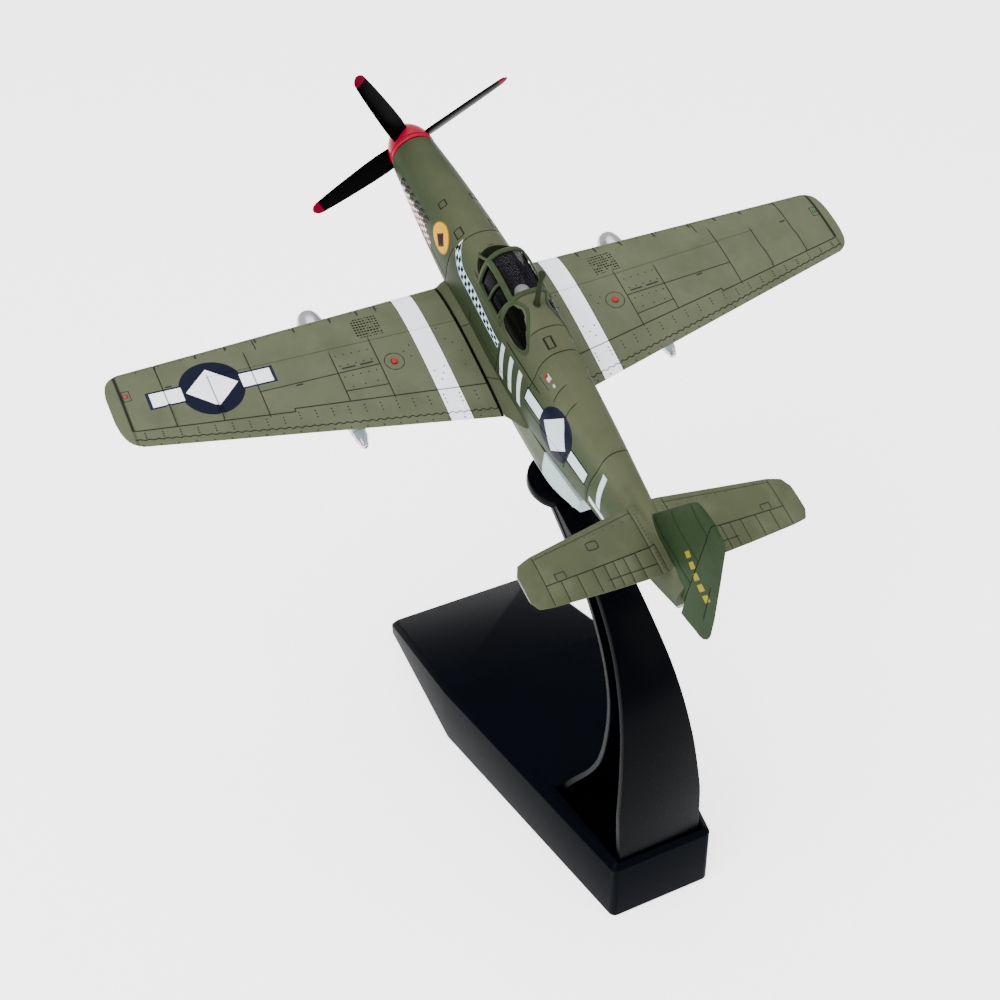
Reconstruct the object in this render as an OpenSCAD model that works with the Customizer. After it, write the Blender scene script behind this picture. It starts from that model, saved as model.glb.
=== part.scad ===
// Desk display model of a 1:72 four-bladed single-engine fighter on a black stand.
// Millimetres, +Z up, +X towards the aircraft's nose, +Y to its port side.
// The origin is the centre of the face that the stand rests on.

/* [Stand base] */
// Length of the base along X
base_l = 100; // [96:1:104]
// Width of the base at its rear face
base_rear_w = 22.6; // [21.6:0.2:24]
// Width of the base at its widest place
base_mid_w = 43; // [40:1:46]
// Width of the base at its front edge
base_front_w = 39.4; // [36:0.2:42]
// Height of the base's flat top
base_h = 15.65; // [15:0.05:17]
// Height of the base at its front edge
base_front_h = 3.7; // [3.4:0.1:5]
// Length of the flat top, behind the sloping front
base_flat_l = 60.8; // [56:0.2:64]
// Bevel along the base's top edges
base_bevel = 1.2; // [0.8:0.1:1.6]

/* [Stand arm] */
// Half width of the arm where it leaves the base
arm_foot_hw = 11.7; // [11:0.1:11.8]
// Thickness of the arm's middle web
arm_web = 3; // [2:0.2:4]
// Width of the rims around the arm's side pockets
arm_rim = 1.5; // [1:0.1:2]
// Gap around the arm's foot in its socket
foot_gap = 0.45; // [0.2:0.05:0.6]

/* [Cradle] */
// Radius of the round cradle disc
disc_r = 6.5; // [6:0.1:7]
// Thickness of the cradle disc
disc_t = 2.2; // [1.8:0.1:2.6]
// Radius of the peg that holds the aircraft
peg_r = 1.5; // [1.2:0.1:1.8]
// Height of the peg above the disc
peg_h = 6; // [4:0.5:8]

/* [Aircraft placing] */
// Nose-up angle of the aircraft on the stand
pitch = 18.3; // [16:0.1:20]
// Spinner tip's place along X
nose_x = 70.2; // [69:0.1:72]
// Spinner tip's height above the table
nose_z = 121.9; // [121:0.1:124]

/* [Wing] */
// Wing span from tip to tip
span = 156.8; // [154:0.2:160]
// Rise of each wing from the root to the tip
dihedral = 4.9; // [4.5:0.1:5.3]
// Distance of the wing root joint from the centre line
root_y = 8.3; // [8:0.1:9]

/* [Propeller] */
// Radius of the propeller disc
prop_r = 25; // [23:0.5:26]
// Widest chord of a blade
blade_chord = 4.6; // [4:0.1:5]
// Turn of the first blade from starboard towards up
blade_turn = 120.9; // [0:0.1:360]
// Radius of the spinner's rear edge
spinner_r = 5; // [4.8:0.1:5.2]

/* [Drop tanks] */
// Distance of each tank from the centre line
tank_y = 34.2; // [32:0.2:36]
// Length of a tank
tank_l = 33.6; // [32:0.2:35]
// Largest radius of a tank
tank_r = 3.4; // [3:0.1:3.6]

/* [Hidden] */
fit = 0.02;                                   // gap between fixed pieces that would share a face
wall = 1.8;                                   // wall of the moulded base
foot_floor = 4;                               // height of the socket's floor, where the foot stands
disc_at = [84.5, -16.3];                      // disc centre: aft of the spinner tip, above the thrust line
belly_gap = 0.3;                              // air between the disc and the aircraft's belly

// ---- shared shapes -------------------------------------------------------------------------

function bezier(p, t) = pow(1 - t, 3) * p[0] + 3 * pow(1 - t, 2) * t * p[1]
                      + 3 * (1 - t) * t * t * p[2] + pow(t, 3) * p[3];
function bezier_slope(p, t) = 3 * pow(1 - t, 2) * (p[1] - p[0]) + 6 * (1 - t) * t * (p[2] - p[1])
                            + 3 * t * t * (p[3] - p[2]);
function curve(p, n, inset = 0) = [for (i = [0:n])
    let (t = i / n, d = bezier_slope(p, t)) bezier(p, t) + inset * [d[1], -d[0]] / norm(d)];

// Row of a station table that x falls in, and the smooth value of one column there.
function row_of(tbl, x, i = 0) = i >= len(tbl) - 2 || x < tbl[i + 1][0] ? i : row_of(tbl, x, i + 1);
function slope(tbl, i, c) =
    let (a = max(i - 1, 0), b = min(i + 1, len(tbl) - 1)) (tbl[b][c] - tbl[a][c]) / (tbl[b][0] - tbl[a][0]);
function station(tbl, x, c) =
    let (i = row_of(tbl, x), h = tbl[i + 1][0] - tbl[i][0], t = (x - tbl[i][0]) / h,
         m0 = slope(tbl, i, c) * h, m1 = slope(tbl, i + 1, c) * h, a = tbl[i][c], b = tbl[i + 1][c])
    (2*t*t*t - 3*t*t + 1) * a + (t*t*t - 2*t*t + t) * m0 + (3*t*t - 2*t*t*t) * b + (t*t*t - t*t) * m1;

// Closed skin through equal rings of points, with flat ends.
module skin(rings, first_faces = []) {
    n = len(rings[0]);
    m = len(rings);
    points = [for (r = rings) each r];
    sides = [for (j = [0:m - 2], i = [0:n - 1])
        let (k = (i + 1) % n) each [[j*n + i, (j+1)*n + k, j*n + k], [j*n + i, (j+1)*n + i, (j+1)*n + k]]];
    first = len(first_faces) > 0 ? first_faces : [[for (i = [0:n - 1]) i]];
    polyhedron(points, concat(sides, first, [[for (i = [n - 1:-1:0]) (m - 1)*n + i]]), convexity = 6);
}

// The same skin as a chain of hulls, for sections that are convex.
module chain(rings) {
    for (j = [0:len(rings) - 2]) hull() skin([rings[j], rings[j + 1]]);
}

// Superellipse arc from angle a0 to a1, half width w, height h, power p.
function power_arc(w, h, p, a0, a1, n) = [for (i = [0:n])
    let (a = a0 + (a1 - a0) * i / n, c = cos(a), s = sin(a))
    [w * sign(c) * pow(abs(c), 2 / p), h * sign(s) * pow(abs(s), 2 / p)]];

// Carries children from the aircraft's own frame (X aft of the spinner tip, Y to starboard,
// Z above the thrust line) to the stand's frame.
module on_aircraft() {
    translate([nose_x, 0, nose_z]) rotate([0, -pitch, 0]) rotate([0, 0, 180]) children();
}

// side = 1 is starboard, side = -1 is port.
module half_space(side, size = 200) {
    translate([-size / 4, side > 0 ? 0 : -size, -size / 2]) cube([1.5 * size, size, size]);
}

// ---- stand ---------------------------------------------------------------------------------

flat_x = -base_l / 2 + base_flat_l;
function base_outline(inset) =
    let (r = base_rear_w / 2 - inset, m = base_mid_w / 2 - inset, f = base_front_w / 2 - inset,
         a = -base_l / 2 + inset, b = base_l / 2 - inset)
    [[a, r - 1], [a + 1, r], [flat_x, m], [b - 1, f], [b, f - 1],
     [b, 1 - f], [b - 1, -f], [flat_x, -m], [a + 1, -r], [a, 1 - r]];
function base_top(x) = x < flat_x ? base_h
    : base_h + (base_front_h - base_h) * (x - flat_x) / (base_l / 2 - flat_x);

module base_block(inset, drop) {
    low = base_outline(inset);
    high = base_outline(inset + base_bevel);
    hull() {
        skin([[for (p = low) [p[0], p[1], 0]], [for (p = low) [p[0], p[1], base_top(p[0]) - drop - base_bevel]]]);
        skin([[for (p = high) [p[0], p[1], 1]], [for (p = high) [p[0], p[1], base_top(p[0]) - drop]]]);
    }
}

foot_back = -48.5;
foot_front = -26.1;
module foot_prism(gap, z0, z1) {
    back_hw = 9.2 + gap;
    front_hw = arm_foot_hw + gap;
    translate([0, 0, z0]) linear_extrude(z1 - z0)
        polygon([[foot_back - gap, -back_hw], [foot_front + gap, -front_hw],
                 [foot_front + gap, front_hw], [foot_back - gap, back_hw]]);
}

screw_places = [[-20, 12.3], [-20, -12.3], [36, 13.7], [36, -13.7]];
module base_shell() {
    color([0.07, 0.07, 0.08]) difference() {
        base_block(0, 0);
        difference() {
            translate([0, 0, -0.01]) base_block(wall, wall);
            foot_prism(foot_gap + 0.6, foot_floor - 1.6, base_h);
            for (p = screw_places) translate([p[0], p[1], 2.2]) cylinder(r = 1.9, h = base_h, $fn = 24);
        }
        foot_prism(foot_gap, foot_floor, base_h + 1);
        for (p = screw_places) translate([p[0], p[1], -1]) cylinder(r = 0.8, h = 6.5, $fn = 24);
    }
}

plate_t = 1.2;                                // thickness of the cover under the base
module bottom_plate() {
    low = base_outline(wall + 0.1);
    color([0.06, 0.06, 0.06]) difference() {
        linear_extrude(plate_t) polygon(low);
        for (p = screw_places) {
            translate([p[0], p[1], -1]) cylinder(r = 0.9, h = 4, $fn = 24);
            translate([p[0], p[1], -1]) cylinder(r = 1.7, h = 1.8, $fn = 24);
        }
    }
}

module base_screw(i) {
    p = screw_places[i];
    color("dimgray") translate([p[0], p[1], 0]) difference() {
        union() {
            translate([0, 0, 0.2]) cylinder(r = 1.6, h = 0.6 - fit, $fn = 24);
            translate([0, 0, 0.3]) cylinder(r = 0.78, h = 4.9, $fn = 24);
        }
        translate([0, 0, 0.2]) rotate([0, 0, 45]) cube([2, 0.4, 0.5], center = true);
        translate([0, 0, 0.2]) rotate([0, 0, -45]) cube([2, 0.4, 0.5], center = true);
    }
}

// The arm's side outline in the X-Z plane: a rear curve, and a front curve in two pieces.
rear_curve = [[foot_back, 12], [-48, 52.5], [-43.5, 64], [-9, 80]];
flare_curve = [[foot_front, base_h], [-31, 26], [-38.6, 30], [-38.3, 43]];
front_curve = [[-38.3, 43], [-38.1, 54], [-33, 61.5], [-5.5, 76.6]];
function reversed(v) = [for (i = [len(v) - 1:-1:0]) v[i]];
function arm_side() = concat([[foot_front, foot_floor], [foot_back, foot_floor]],
    curve(rear_curve, 14), reversed(curve(front_curve, 10)), reversed([for (i = [0:7]) curve(flare_curve, 8)[i]]));
function arm_half_width() = [[arm_foot_hw, foot_floor], [arm_foot_hw, base_h], [10.4, 20], [9.5, 25], [8.9, 31],
    [7.9, 41], [6.65, 50.7], [5.85, 56.5], [4.8, 63.3], [4.2, 68], [3.6, 80]];

module arm_pocket(side) {
    back = curve(rear_curve, 14, arm_rim);
    front = reversed(curve(front_curve, 10, -arm_rim));
    flare = reversed([for (i = [2:8]) curve(flare_curve, 8, -arm_rim)[i]]);
    outline = concat([for (i = [3:11]) back[i]], [for (i = [2:9]) front[i]], flare);
    translate([0, side > 0 ? 30 : -arm_web / 2, 0]) rotate([90, 0, 0])
        linear_extrude(30 - arm_web / 2) polygon(outline);
}

module arm() {
    hw = arm_half_width();
    color([0.08, 0.08, 0.09]) difference() {
        intersection() {
            translate([0, 20, 0]) rotate([90, 0, 0]) linear_extrude(40) polygon(arm_side());
            rotate([90, 0, 90]) translate([0, 0, -60])
                linear_extrude(60) polygon(concat(hw, [for (p = reversed(hw)) [-p[0], p[1]]]));
            foot_prism(0, foot_floor + 0.05, 90);
        }
        arm_pocket(1);
        arm_pocket(-1);
        disc_seat();
    }
}

// The arm's end carries the disc from below and behind, and stops level with its top.
module disc_seat() {
    on_aircraft() translate([disc_at[0], 0, disc_at[1] - belly_gap]) {
        translate([0, 0, -disc_t - fit]) cylinder(r = disc_r + fit, h = 30, $fn = 48);
        translate([-15, -15, 0]) cube([40, 30, 20]);
    }
}

module cradle_disc() {
    color([0.07, 0.07, 0.08]) on_aircraft() translate([disc_at[0], 0, disc_at[1] - belly_gap - disc_t]) difference() {
        cylinder(r = disc_r, h = disc_t, $fn = 64);
        translate([0, 0, 0.8]) cylinder(r = peg_r + 0.05, h = disc_t, $fn = 32);
    }
}

module swivel_peg() {
    color([0.1, 0.1, 0.11]) on_aircraft() translate([disc_at[0], 0, disc_at[1] - belly_gap - disc_t + 0.85])
        cylinder(r = peg_r, h = disc_t - 0.85 + belly_gap + peg_h, $fn = 32);
}

// ---- fuselage ------------------------------------------------------------------------------

// Each row: distance aft, top, bottom, height of the widest line, half width, power of the section.
body_rows = [[8.5, 5.0, -6.2, -0.3, 5.0, 2.1], [20, 6.6, -8.1, -0.6, 5.6, 2.3], [34, 8.1, -9.7, -1.4, 6.2, 2.4],
             [47, 9.2, -10.7, -2.0, 6.5, 2.4], [62, 9.2, -11.0, -2.0, 6.6, 2.4], [76, 8.8, -10.5, -1.4, 6.1, 2.3],
             [90, 8.4, -8.8, -0.2, 5.2, 2.2], [105, 8.2, -5.9, 1.6, 4.0, 2.1], [118, 8.0, -2.8, 3.0, 2.8, 2.0],
             [127.2, 7.9, 0.2, 4.4, 1.7, 2.0]];
// Each row: distance aft, top, half width of the canopy and spine, which stand on the body.
spine_rows = [[44.6, 8.6, 1.2], [46, 10, 3.6], [48, 11.6, 4.6], [51.2, 13.9, 5.0], [54, 14.2, 5.2],
              [60, 13.7, 5.3], [66, 12.8, 5.2], [74, 12.0, 4.9], [84, 11.4, 4.3], [95, 10.8, 3.6],
              [110, 9.8, 2.4], [124, 8.8, 1.3]];
spine_foot = 4;

function body_ring(x, inset = 0) =
    let (top = station(body_rows, x, 1) - inset, low = station(body_rows, x, 2) + inset,
         mid = station(body_rows, x, 3), w = station(body_rows, x, 4) - inset, p = station(body_rows, x, 5),
         up = power_arc(w, top - mid, p, 0, 180, 10), down = power_arc(w, mid - low, p, 180, 360, 10))
    concat([for (i = [0:9]) [x, up[i][0], mid + up[i][1]]], [for (i = [0:9]) [x, down[i][0], mid + down[i][1]]]);
function spine_ring(x, inset = 0) =
    let (top = station(spine_rows, x, 1) - inset, w = station(spine_rows, x, 2) - inset,
         arc = power_arc(w, top - spine_foot, 2.7, 0, 180, 10))
    concat([for (a = arc) [x, a[0], spine_foot + a[1]]], [[x, 0, spine_foot - 1]]);

body_x = [8.5, 14, 20, 28, 37, 47, 58, 68, 77, 87, 97, 107, 116, 122, 127.2];
cab_front = 44.6;
screen_rear = 51.4;
cab_rear = 62.4;
cabin_x = [cab_front, 45.2, 46, 47, 48.2, 49.7, screen_rear, 53, 56, 59, cab_rear];
spine_x = [cab_rear, 66, 72, 80, 90, 102, 114, 124];

// Aerofoil ring in the X-Z plane at one span place: leading edge, trailing edge, height, thickness.
function thickness(u, t) = 5 * t * (0.2969 * sqrt(u) - 0.126 * u - 0.3516 * u*u + 0.2843 * u*u*u - 0.1036 * u*u*u*u);
function foil(y, lead, trail, z, t, n = 9) =
    let (chord = trail - lead, u = [for (i = [0:n]) (1 - cos(180 * i / n)) / 2])
    concat([for (i = [0:n]) [lead + chord * u[i], y, z + chord * thickness(u[i], t) + 0.12]],
           [for (i = [n:-1:0]) [lead + chord * u[i], y, z - chord * thickness(u[i], t) - 0.12]]);

wing_z = -7.7;
function wing_lead(y) = 38.4 + 0.08 * y;
function wing_trail(y) = 75.2 - 0.18 * y;
function wing_foil(y, squeeze = 1) =
    let (c = wing_trail(y) - wing_lead(y), m = (wing_lead(y) + wing_trail(y)) / 2 - 1.2 * (1 - squeeze))
    foil(y, m - squeeze * c / 2, m + squeeze * c / 2, wing_z + y * tan(dihedral),
         (0.15 - 0.04 * y * 2 / span) * (0.35 + 0.65 * squeeze));

module wing_surface() {
    tip = span / 2;
    skin([for (y = [root_y + 0.1, 20, 34, 48, 60, 70]) wing_foil(y), wing_foil(tip - 3.4, 0.99),
          wing_foil(tip - 1.7, 0.92), wing_foil(tip - 0.6, 0.74), wing_foil(tip, 0.38)]);
}

module wing_stub() {
    chain([foil(2, 37.6, 78.2, -6.6, 0.13), foil(5.2, 37.6, 78.2, -6.75, 0.15),
          foil(6.6, 38.2, 76, -6.95, 0.152), foil(root_y, wing_lead(root_y), wing_trail(root_y), -7.0, 0.148)]);
}

// Fin ahead of the rudder's hinge line, drawn as upright sections.
fin_top = 26.15;
function fin_foil(z, lead, hinge) = [for (s = [[lead, 0], [lead + 0.8, -0.55], [lead + 4, -0.9], [hinge, -0.8],
    [hinge, 0.8], [lead + 4, 0.9], [lead + 0.8, 0.55]]) [s[0], s[1] * (1.25 - 0.5 * z / fin_top), z]];
function hinge_x(z) = 128.4 - 0.045 * z;
module fin() {
    chain([fin_foil(5, 110.5, hinge_x(5)), fin_foil(9.5, 112.9, hinge_x(9.5)), fin_foil(23.5, 120.6, hinge_x(23.5)),
          fin_foil(25.6, 122.0, hinge_x(25.6)), fin_foil(fin_top, 123.4, hinge_x(fin_top))]);
}

module cockpit_pocket() {
    translate([50.6, -4.2, 1.2]) cube([cab_rear - 50.4, 8.4, 14]);
}

// Outline of the rear side window, a drop with its round end forwards.
module window_prism(side, grow) {
    translate([0, side > 0 ? 1 : -9, 0]) rotate([90, 0, 0]) translate([0, 0, -8]) linear_extrude(8)
        polygon([for (i = [0:19]) let (a = 18 * i, u = cos(a), v = sin(a))
            [67.1 + (4.2 + grow) * u, 9.3 + (2.5 + grow) * v * (1 - 0.35 * u) - 0.5 * u]]);
}
module window_layer(side, grow, deep) {
    intersection() {
        window_prism(side, grow);
        difference() {
            chain([for (x = [61, 66, 74]) spine_ring(x, -0.5)]);
            chain([for (x = [60, 66, 75]) spine_ring(x, deep)]);
        }
    }
}
module rear_window(side) {
    color([0.05, 0.05, 0.06]) on_aircraft() intersection() {
        window_layer(side, 0, 0.4);
        chain([for (x = [cab_rear, 66, 72, 80]) spine_ring(x)]);
    }
}

module body_solid() {
    chain([for (x = body_x) body_ring(x)]);
    chain([for (x = spine_x) spine_ring(x)]);
    fin();
    for (s = [0, 1]) mirror([0, s, 0]) wing_stub();
}

module body_core() {
    chain([for (x = [15, 30, 47]) body_ring(x, 2)]);
    chain([for (x = [74, 95, 112]) body_ring(x, 1.6)]);
}

module fuselage(side) {
    color([0.36, 0.38, 0.29]) on_aircraft() difference() {
        intersection() {
            body_solid();
            half_space(side);
        }
        body_core();
        cockpit_pocket();
        window_layer(side, 0.05, 0.45);
        chain([for (x = scoop_x) scoop_ring(x, 0.03)]);
        exhaust_recess(side);
        mast_hole();
        translate([4, 0, 0]) rotate([0, 90, 0]) cylinder(r = 2.55, h = 9.5, $fn = 40);
        tail_slot();
    }
}

// Slot that the tailplanes pass into on each side.
module tail_slot() {
    translate([tail_root_lead - 0.2, -4, tail_z - 0.9]) cube([14.7, 8, 1.8]);
}

module rudder() {
    color([0.3, 0.35, 0.25]) on_aircraft() skin([for (r = [[0.8, 131.4, 0.9], [2, 134.9, 0.95], [4.2, 135.9, 1.0], [9, 135.2, 1.0],
        [18, 133.2, 0.8], [24.8, 131.6, 0.62], [26.2, 130.4, 0.5]])
        let (h = hinge_x(r[0]) + 0.15)
        [[h, -r[2], r[0]], [r[1] - 0.6, -0.22, r[0]], [r[1], 0, r[0]], [r[1] - 0.6, 0.22, r[0]], [h, r[2], r[0]]]]);
}

// ---- wings, tail and what they carry ---------------------------------------------------------

module wing(side) {
    color([0.42, 0.44, 0.34]) on_aircraft() mirror([0, side > 0 ? 0 : 1, 0]) difference() {
        wing_surface();
        translate(cap_at) rotate([dihedral, 0, 0]) translate([0, 0, -0.05]) cylinder(r = cap_r + 0.05, h = 6, $fn = 32);
        pylon_solid(0.03);
        tip_light_solid(0.03);
    }
}

tail_z = 8.15;
tail_root_lead = 109;
module tailplane(side) {
    color([0.42, 0.44, 0.34]) on_aircraft() mirror([0, side > 0 ? 0 : 1, 0]) skin([
        for (s = [[0.05, 109, 122.5, 1.5], [3, 109.3, 124, 1.5], [14, 111.1, 123.6, 1.3], [24, 112.7, 123, 1.05],
                  [26.2, 113.6, 122.6, 0.85], [27.1, 115.4, 121, 0.5]])
        foil(s[0], s[1], s[2], tail_z, s[3] / (s[2] - s[1]) * 0.8, 7)]);
}

// Each row: distance aft, bottom, half width of the radiator scoop.
scoop_rows = [[53.5, -15.0, 4.3], [57, -16.1, 4.9], [64, -16.3, 5.2], [76, -16.3, 5.2], [86, -16.3, 4.8],
              [91, -14.6, 4.3], [97, -11.2, 3.6]];
scoop_x = [53.5, 55, 57, 60, 64, 70, 76, 81, 86, 88, 91, 94, 97];
function scoop_ring(x, grow) =
    let (low = station(scoop_rows, x, 1) - grow, w = station(scoop_rows, x, 2) + grow,
         arc = power_arc(w, -low - 7, 3.2, 180, 360, 12))
    concat([for (a = arc) [x, a[0], -7 + a[1]]], [[x, w, -6.5 + grow], [x, -w, -6.5 + grow]]);

module belly_scoop() {
    color([0.66, 0.7, 0.7]) on_aircraft() difference() {
        skin([for (x = scoop_x) scoop_ring(x, 0)]);
        translate([50, -3.3, -14.6]) cube([9, 6.6, 3.2]);
        translate([disc_at[0], 0, disc_at[1] - 1]) cylinder(r = peg_r + 0.05, h = peg_h + 1.4, $fn = 32);
        translate([89, -3, -20]) cube([9, 6, 9.4]);
    }
}

module scoop_flap() {
    color([0.6, 0.64, 0.64]) on_aircraft() translate([89.5, 0, -14.2]) rotate([0, -22, 0])
        translate([0, -2.9, 0]) cube([5.6, 5.8, 0.7]);
}

// The exhaust row climbs gently aft; its places are distances along the row.
stack_tilt = 6;
stack_row_l = 15.3;
stack_s = [1.6, 4.15, 6.65, 9.2, 11.7, 14.1];
module at_stacks() {
    translate([13.4, 0, -0.15]) rotate([0, -stack_tilt, 0]) children();
}
module exhaust_recess(side) {
    at_stacks() translate([0, side > 0 ? 4.6 : -8.6, -1.15]) cube([stack_row_l + 0.9, 4, 2.3]);
}

module exhaust(side) {
    color([0.3, 0.29, 0.27]) on_aircraft() mirror([0, side > 0 ? 0 : 1, 0]) at_stacks() {
        translate([0.05, 4.62, -1.1]) cube([stack_row_l - 0.1, 0.4, 2.2]);
        intersection() {
            for (s = stack_s) translate([s, 4.7, 0]) rotate([0, 0, -32])
                translate([-1, 0, -0.75]) cube([1.7, 1.3 + 0.05 * s, 1.5]);
            translate([-5, 4.62, -5]) cube([30, 10, 15]);
        }
    }
}

cap_at = [56.34, 24.23, -5.2];
cap_r = 0.9;
module fuel_cap(side) {
    color("firebrick") on_aircraft() mirror([0, side > 0 ? 0 : 1, 0])
        translate(cap_at) rotate([dihedral, 0, 0]) cylinder(r = cap_r, h = 2.05, $fn = 32);
}

module tip_light_solid(grow = 0) {
    y = span / 2 - 3.4;
    translate([50.5, y, wing_z + y * tan(dihedral) + 0.75]) sphere(r = 0.6 + grow, $fn = 20);
}
module tip_light(side) {
    color(side > 0 ? "seagreen" : "crimson") on_aircraft() mirror([0, side > 0 ? 0 : 1, 0])
        tip_light_solid();
}

// ---- drop tanks ------------------------------------------------------------------------------

tank_nose = [33.9, -10.2];
tank_dip = 4.88;
function tank_radius(u) = tank_r * pow(sin(180 * pow(u, 0.6)), 0.5);
function tank_outline(grow) = concat([[0, 0]],
    [for (u = concat([0.004, 0.016, 0.03], [for (i = [1:18]) i / 20])) [tank_radius(u) + grow, tank_l * u]],
    [[0, tank_l * 0.9]]);
module at_tank(side) {
    translate([tank_nose[0], side * tank_y, tank_nose[1]]) rotate([0, tank_dip, 0]) children();
}
module tank(side) {
    color([0.72, 0.73, 0.72]) on_aircraft() at_tank(side) rotate([0, 90, 0]) rotate_extrude($fn = 48)
        polygon(tank_outline(0));
}
module tank_tail(side) {
    color([0.6, 0.61, 0.6]) on_aircraft() at_tank(side) rotate([0, 90, 0]) rotate_extrude($fn = 48)
        polygon([[0, tank_l * 0.9 + fit], [tank_radius(0.9), tank_l * 0.9 + fit], [0.75, tank_l - 0.6],
                 [0.55, tank_l], [0, tank_l]]);
}

module pylon_solid(grow = 0) {
    translate([0, tank_y, 0]) skin([for (r = [[-11.4, 42, 58], [-4.4, 43, 57]])
        [for (p = [[r[1], 0], [r[1] + 2, -0.7], [r[2] - 4, -0.7], [r[2], 0], [r[2] - 4, 0.7], [r[1] + 2, 0.7]])
            [p[0] + (p[0] < 50 ? -grow : grow), p[1] + sign(p[1]) * grow, r[0] + (r[0] > -5 ? grow : 0)]]]);
}
module pylon(side) {
    color([0.6, 0.64, 0.64]) on_aircraft() mirror([0, side > 0 ? 0 : 1, 0]) difference() {
        pylon_solid();
        at_tank(1) rotate([0, 90, 0]) rotate_extrude($fn = 48)
            polygon(tank_outline(fit));
    }
}

// ---- cockpit ---------------------------------------------------------------------------------

// Shell of the cabin between two insets, open underneath where it stands on the body.
module cabin_shell(outer, inner) {
    difference() {
        chain([for (x = cabin_x) spine_ring(x, outer)]);
        chain([for (x = cabin_x) spine_ring(x + 0.01, inner)]);
        chain([for (x = body_x) if (x > 30 && x < 80) body_ring(x, -fit)]);
    }
}
// Windscreen: the sloping front of the cabin, ahead of the hinged canopy.
module windscreen() {
    color([0.45, 0.5, 0.45, 0.8]) on_aircraft() intersection() {
        cabin_shell(0, 0.8);
        translate([cab_front, -8, 0]) cube([screen_rear - cab_front - fit, 16, 20]);
    }
}
module canopy_glass() {
    color([0.3, 0.3, 0.36, 0.6]) on_aircraft() intersection() {
        cabin_shell(0.3, 0.8);
        translate([screen_rear, -8, 0]) cube([cab_rear - screen_rear - fit, 16, 20]);
    }
}
bar_x = [screen_rear + 0.5, 56.6, cab_rear - 0.5];
module canopy_frame() {
    color([0.4, 0.42, 0.32]) on_aircraft() intersection() {
        cabin_shell(0, 0.28);
        union() {
            for (x = bar_x) translate([x - 0.45, -8, 0]) cube([0.9, 16, 20]);
            translate([bar_x[0], -8, 0]) cube([bar_x[2] - bar_x[0], 16, 7.2]);
            for (s = [-1, 1]) translate([bar_x[0], s * 3.5 - 0.6, 9]) cube([bar_x[2] - bar_x[0], 1.2, 6]);
        }
    }
}

module cockpit_tub() {
    color([0.2, 0.26, 0.16]) on_aircraft() difference() {
        translate([50.7, -4.1, 1.3]) cube([11.2, 8.2, 4.4]);
        translate([51.3, -3.5, 2]) cube([10, 7, 8]);
    }
}
module seat() {
    color([0.25, 0.22, 0.16]) on_aircraft() translate([55.6, -2.2, 2.02]) {
        cube([4, 4.4, 1.2]);
        translate([3.2, 0, 1.2]) cube([0.8, 4.4, 4.2]);
        for (y = [0, 3.9]) translate([0.6, y, 1.2]) cube([2.6, 0.5, 1.2]);
    }
}
module headrest() {
    color("white") on_aircraft() translate([59.7, 0, 0]) {
        translate([0, -1.4, 2.02]) cube([0.9, 2.8, 7.6]);
        translate([-0.4, 0, 10.2]) sphere(r = 1.6, $fn = 24);
    }
}
module instrument_panel() {
    color([0.1, 0.1, 0.1]) on_aircraft() translate([51.32, -3.45, 3.2]) {
        cube([0.8, 6.9, 4.4]);
        translate([0.1, 2.6, 4.4]) cube([0.7, 1.7, 1.6]);
    }
}

mast_x = 64.8;
module mast_hole() {
    translate([mast_x, 0, 10]) cylinder(r = 0.62, h = 6, $fn = 24);
}
module antenna_mast() {
    color([0.3, 0.32, 0.24]) on_aircraft() translate([mast_x, 0, 10.05]) {
        cylinder(r = 0.6, h = 3, $fn = 24);
        translate([0, 0, 2.9]) cylinder(r = 0.55, h = 8.45, $fn = 24);
    }
}

// ---- propeller -------------------------------------------------------------------------------

hub_x = 5.28;
plate_x = 7.2;
module nose_bush() {
    color("dimgray") on_aircraft() rotate([0, 90, 0]) difference() {
        translate([0, 0, plate_x + 1.05]) cylinder(r = 2.5, h = 5.2, $fn = 40);
        cylinder(r = 1.05, h = 30, $fn = 32);
    }
}
module backplate() {
    color("firebrick") on_aircraft() rotate([0, 90, 0]) difference() {
        translate([0, 0, plate_x]) cylinder(r = spinner_r, h = 0.9, $fn = 64);
        cylinder(r = 1.02, h = 30, $fn = 32);
    }
}
function spinner_radius(x) = spinner_r * pow(sin(90 * pow(x / plate_x, 0.9)), 0.62);
module spinner() {
    color("firebrick") on_aircraft() difference() {
        rotate([0, 90, 0]) rotate_extrude($fn = 64) polygon(concat([[0, 0]],
            [for (i = [1:16]) let (x = plate_x * i / 16) [spinner_radius(x), x - (i == 16 ? fit : 0)]],
            [[1.02, plate_x - fit], [1.02, 3.4], [0, 3.4]]));
        for (i = [0:3]) at_blade(i) translate([0, 0, 2.2]) cylinder(r = 1.05, h = 6, $fn = 24);
    }
}
module prop_shaft() {
    color("silver") on_aircraft() rotate([0, 90, 0]) translate([0, 0, 3.42]) cylinder(r = 1, h = 9.6, $fn = 32);
}

module at_blade(i) {
    translate([hub_x, 0, 0]) rotate([blade_turn - 90 + 90 * i, 0, 0]) children();
}
// Each row: distance out from the hub, chord, angle from the plane of rotation.
blade_rows = [[4.7, 4.3, 28], [7, 4.6, 27], [11, 4.4, 26], [16, 3.9, 24], [20, 3.4, 22], [23.2, 2.8, 20],
              [24.4, 2.1, 20], [25, 1.0, 20]];
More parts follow.
